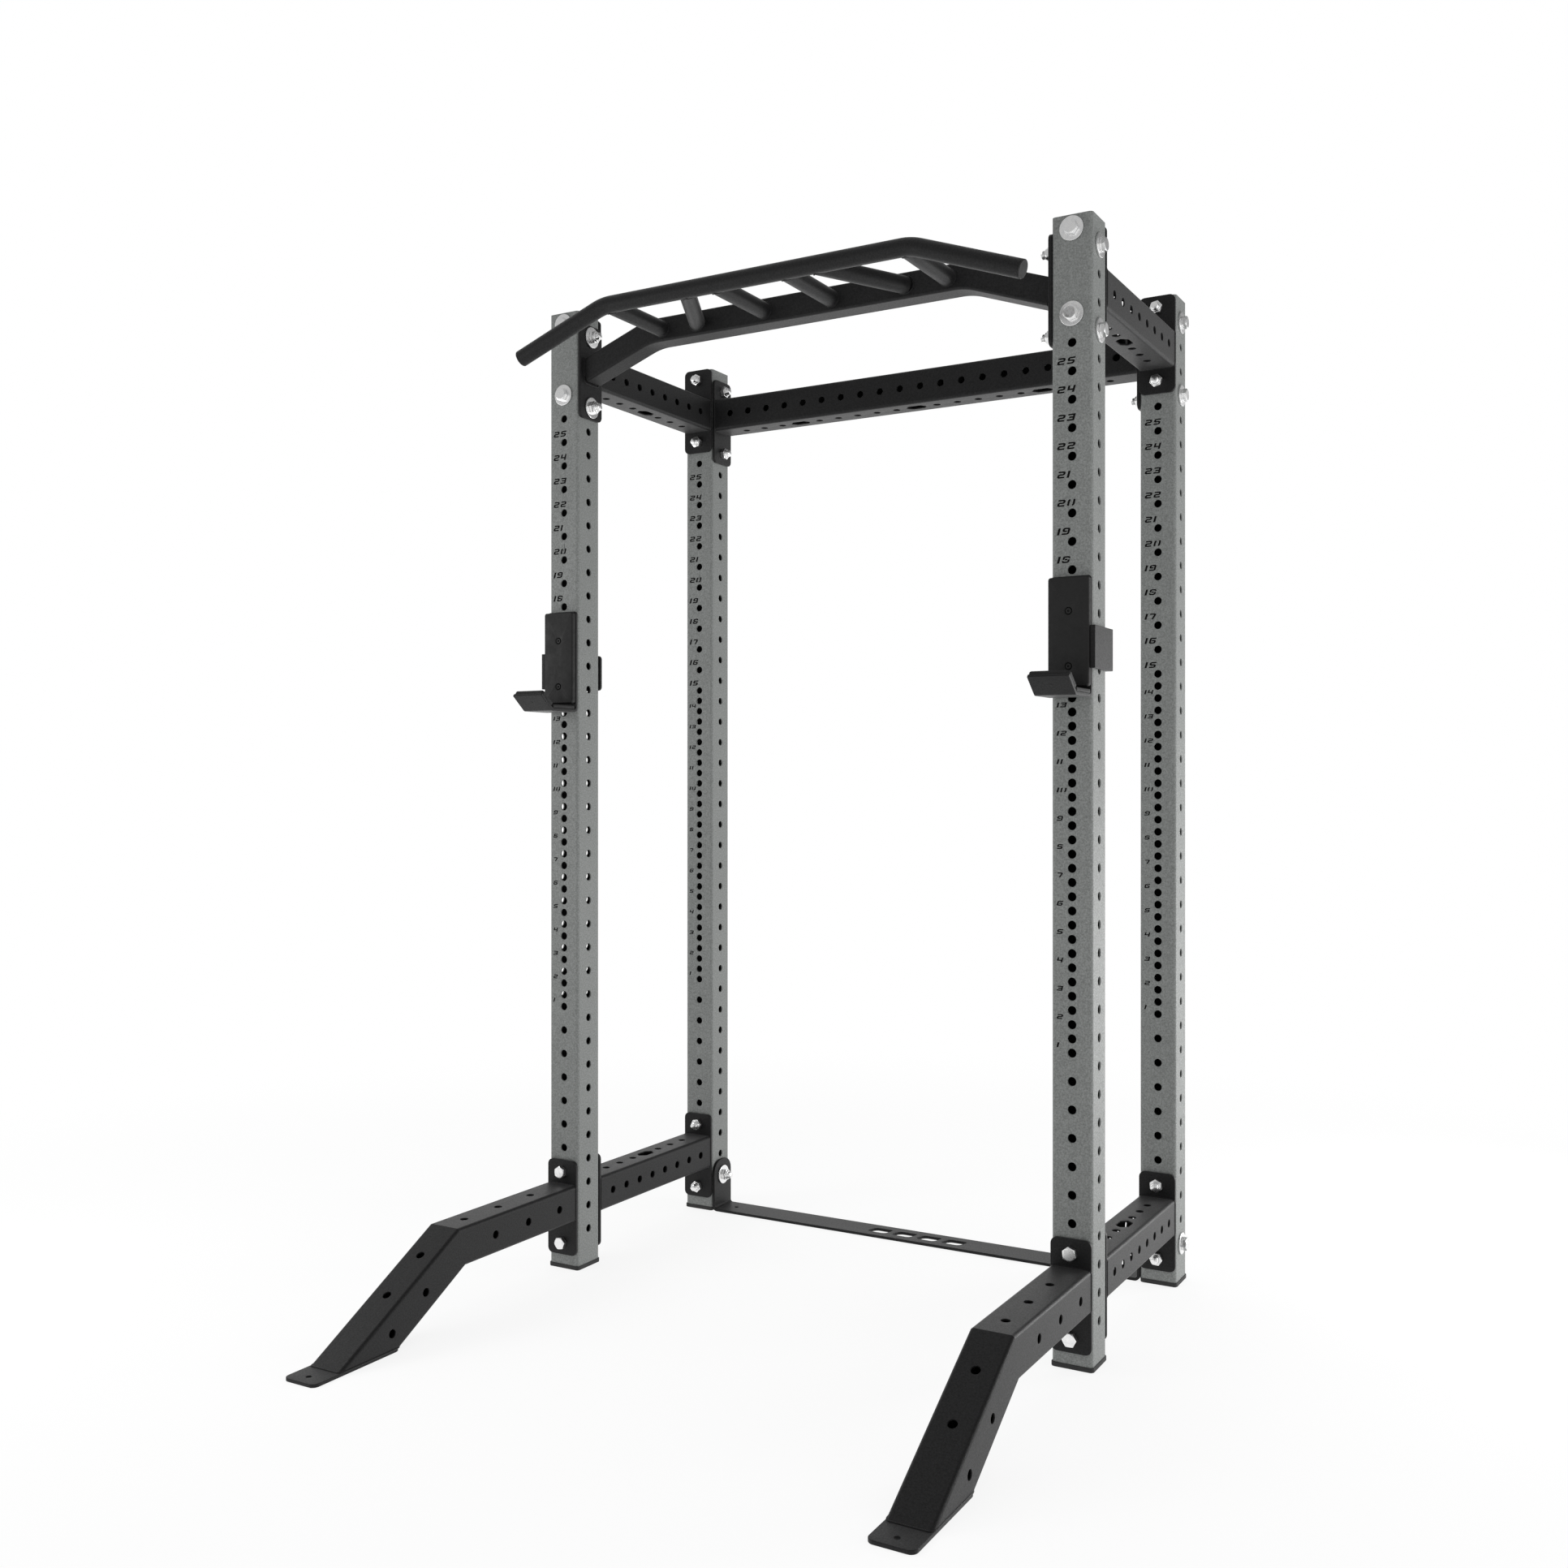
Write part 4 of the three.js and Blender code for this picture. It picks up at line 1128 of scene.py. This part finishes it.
LIP = math.radians(40)
LIP_LENGTH = 47.0
HOOK_REACH = 87.0  # from the upright's face to the hook's fold
SIDE_PLATE = 9.2
SIDE_PLATE_FRONT = 16.0  # how far it stands before the upright's face
PAD = 7.4
PAD_GAP = 0.2
PAD_SCREWS = {"top": 1353.6, "low": 1255.1}
PIN = [(6.9, -2), (6.9, 44), (6.4, 46.5), (5.0, 48), (3.0, 48.4)]
LIP_SCREW = 22.0  # from the lip's end


def build_cup(side):
    body = f"{side}_j_cup"
    mirror = side == "left"
    low, high = cad_box("cup_steel_right")
    back = FRONT - 1.0
    floor = low.z
    half = PLATE / 2

    hook_y = FRONT - HOOK_REACH + half * math.tan(LIP / 2)
    out = Vector((-math.cos(LIP), math.sin(LIP)))
    inward = Vector((math.sin(LIP), math.cos(LIP)))
    lip_end = Vector((hook_y, floor + half)) + out * LIP_LENGTH
    corners = [(back - half, high.z), (back - half, floor + half), (hook_y, floor + half), lip_end]
    steel = bent_plate(lambda x, y, v: Vector((POST_X + v, x, y)), corners, TUBE, bend=7, steps=7,
                       radii=(6, 1.5), edge=0.7)

    wrap_z = BASE + height_of(49) + HALF
    wrap_y = high.y - half
    wrap_x = high.x - SIDE_PLATE / 2
    side_plate = bent_plate(lambda x, y, v: Vector((wrap_x + y, x, wrap_z + v)),
                            [(FRONT - SIDE_PLATE_FRONT, 0), (high.y, 0)], TUBE, thick=SIDE_PLATE,
                            radii=(0.8, 0.8), edge=0.8)
    tail = bent_plate(lambda x, y, v: Vector((x, wrap_y + y, wrap_z + v)),
                      [(high.x - 1, 0), (low.x, 0)], TUBE, radii=(0.5, 8), edge=0.7)
    pin_z = BASE + height_of(FIRST_NUMBER + 32)

    def pin_place(x, y, along):
        return Vector((POST_X + x, back + along, pin_z + y))

    pin = turned(PIN, pin_place, 32)
    collar = weld_bead([pin_place(x, y, 0.2) for x, y in ring(7.4, 32)], pin_place(0, 0, 0.2),
                       0.9, 1.6)
    make_piece(f"cup_bracket_{side}", [steel, side_plate, tail, pin, collar], BLACK, body,
               f"cup_steel_{side}", mirror)

    pad_low, pad_high = cad_box("cup_back_liner_right")
    pad_mid = (pad_low.y + pad_high.y) / 2
    holes = [round_hole(pad_high.z - z, 0, 6.0) for z in PAD_SCREWS.values()]
    pad = bent_plate(lambda x, y, v: Vector((POST_X + v, pad_mid + y, pad_high.z - x)),
                     [(0, 0), (pad_high.z - pad_low.z, 0)], pad_high.x - pad_low.x,
                     thick=pad_high.y - pad_low.y, radii=(5, 5), holes=holes, edge=2.6)
    make_piece(f"cup_back_pad_{side}", [pad], LINER, body, f"cup_back_liner_{side}",
               mirror)

    rest_low, rest_high = cad_box("cup_hook_liner_right")
    wide = rest_high.x - rest_low.x - 0.2
    seat_z = floor + PLATE + PAD_GAP + PAD / 2
    seat_front = hook_y + 2
    seat = bent_plate(lambda x, y, v: Vector((POST_X + v, seat_front + x, seat_z + y)),
                      [(0, 0), (back - PLATE - 2.5 - seat_front, 0)], wide, thick=PAD,
                      radii=(3, 3), edge=1.2)
    lift = inward * (half + PAD_GAP + PAD / 2)
    root = Vector((hook_y, floor + half)) + lift + out * 7

    def lip_place(x, y, v):
        p = root + out * x + inward * y
        return Vector((POST_X + v, p.x, p.y))

    guard = bent_plate(lip_place, [(0, 0), ((lip_end + lift - root).length, 0)], wide, thick=PAD,
                       radii=(2, 6), edge=0.6)
    make_piece(f"cup_rest_pads_{side}", [seat, guard], LINER, body, f"cup_hook_liner_{side}",
               mirror)

    for level in PAD_SCREWS:
        node = f"cup_screw_{level}_{side}"
        screw = socket_screw(*cad_box(node.replace("_left", "_right")))
        make_piece(f"pad_screw_{level}_{side}", [screw], OXIDE, body, node, mirror)

    spot = lip_end - out * LIP_SCREW - inward * (half + 0.1)

    def tip_place(x, y, along):
        p = spot - inward * along + out * y
        return Vector((POST_X + x, p.x, p.y))

    end = turned([(2.6, -3), (2.6, 0.1), (2.4, 0.25), (1.0, 0.3)], tip_place, 20)
    make_piece(f"cup_lip_screw_{side}", [end], OXIDE, body, f"cup_screw_low_{side}",
               mirror)


def socket_screw(low, high):
    """A flat head with a hexagon socket, facing the front."""
    cx, cz = (low.x + high.x) / 2, (low.z + high.z) / 2
    radius = (high.x - low.x) / 2 - 0.1

    def row(reach, depth, six=False):
        points = []
        for i in range(36):
            angle = 2 * math.pi * i / 36
            r = hexagon(angle, reach) if six else reach
            points.append(Vector((cx + r * math.cos(angle), low.y + depth, cz + r * math.sin(angle))))
        return points

    rows = [row(2.5, high.y - low.y), row(2.6, 5), row(radius - 0.2, 1.6), row(radius, 0.9),
            row(radius - 0.3, 0.3), row(radius - 1.0, 0), row(3.2, 0), row(1.9, 0.25, True),
            row(1.9, 2.6, True)]
    return sweep(rows)


for side in SIDES:
    for which in ("front", "rear"):
        build_upright(which, side)
        build_foot_pad(which, side)
        build_top_plug(which, side)
    for level in ("top", "bottom"):
        build_side_crossmember(level, side)
    build_foot(side)
    build_bar_plug(side)
    build_fasteners(side)
    build_cup(side)
build_rear_crossmember()
build_pull_up_bar()
build_sill()


# ---------------------------------------------------------------- stage, light and camera

# Strengths of the room that lights the cage: before it, low down behind it, and above that on
# the left and on the right. COVE_EDGE is where the low part ends, as the sine of its elevation.
ROOM_FRONT = 0.52
COVE_LOW = 1.5
COVE_EDGE = (0.02, 0.35)
COVE_TOP_LEFT = 0.75
COVE_TOP_RIGHT = 0.18
WHITE = (1, 1, 1, 1)
FLOOR_SHADE = 0.22
FLOOR_GLOW = 0.84
FLOOR_FADE = (1.2, 3.2)  # metres from the middle


def build_floor():
    """A white floor that fades to plain white away from the cage."""
    bpy.ops.mesh.primitive_plane_add(size=80, location=(0, 0, 0))
    floor = bpy.context.object
    floor.name = "studio_floor"
    material, graph, shader = node_tree("studio_floor_white")
    graph.feed(shader, {
        "Base Color": (FLOOR_SHADE, FLOOR_SHADE, FLOOR_SHADE, 1), "Roughness": 1.0,
        "Specular IOR Level": 0.0, "Emission Color": WHITE, "Emission Strength": FLOOR_GLOW})
    distance = graph.add("ShaderNodeVectorMath", {0: graph.where()})
    distance.operation = "LENGTH"
    fade = graph.blend(distance.outputs["Value"], *FLOOR_FADE, 0.0, 1.0)
    glow = graph.nodes.new("ShaderNodeEmission").outputs["Emission"]
    surface = graph.mix(fade, shader.outputs["BSDF"], glow)
    graph.feed(graph.nodes["Material Output"], {"Surface": surface})
    floor.data.materials.append(material)


def build_world():
    """White to the eye. For lighting it is a cove that is brightest low down behind the cage."""
    world = bpy.data.worlds.new("studio")
    world.use_nodes = True
    graph = Graph(world.node_tree)
    way = graph.add("ShaderNodeSeparateXYZ", {"Vector": graph.where("Generated")}).outputs
    top = graph.blend(way["X"], -0.3, 0.3, COVE_TOP_LEFT, COVE_TOP_RIGHT)
    cove = graph.blend(way["Z"], *COVE_EDGE, COVE_LOW, top)
    room = graph.blend(way["Y"], -0.35, 0.35, ROOM_FRONT, cove)
    unseen = graph.feed(graph.nodes["Background"], {"Color": WHITE, "Strength": room})
    seen = graph.add("ShaderNodeBackground", {"Color": WHITE})
    camera_ray = graph.nodes.new("ShaderNodeLightPath").outputs["Is Camera Ray"]
    surface = graph.mix(camera_ray, unseen.outputs["Background"], seen.outputs["Background"])
    graph.feed(graph.nodes["World Output"], {"Surface": surface})
    bpy.context.scene.world = world
    bpy.context.scene.view_settings.view_transform = "Standard"


def build_lamp(name, place, target, size, power):
    data = bpy.data.lights.new(name, "AREA")
    data.shape = "RECTANGLE"
    data.size, data.size_y = size
    data.energy = power
    lamp = bpy.data.objects.new(name, data)
    lamp.location = place
    lamp.rotation_euler = (Vector(target) - Vector(place)).to_track_quat("-Z", "Y").to_euler()
    bpy.context.scene.collection.objects.link(lamp)


def build_camera():
    data = bpy.data.cameras.new("view")
    data.lens = 35
    data.sensor_width = 36
    camera = bpy.data.objects.new("view", data)
    camera.location = (1.4876, FRONT * MM - 2.6151, 1.046)
    camera.rotation_euler = (math.radians(90), 0, math.radians(30))
    bpy.context.scene.collection.objects.link(camera)
    bpy.context.scene.camera = camera


build_floor()
build_world()
build_lamp("right_front", (4.0, 0.2, 1.2), (0, 0.2, 0.6), (3.0, 2.2), 24)
build_lamp("right_back", (1.9, 1.8, 0.35), (0.6, 0.2, 0.2), (0.9, 1.2), 28)
build_lamp("left", (-2.0, -1.1, 1.4), (-0.5, -0.4, 0.2), (1.0, 1.0), 9)
build_camera()
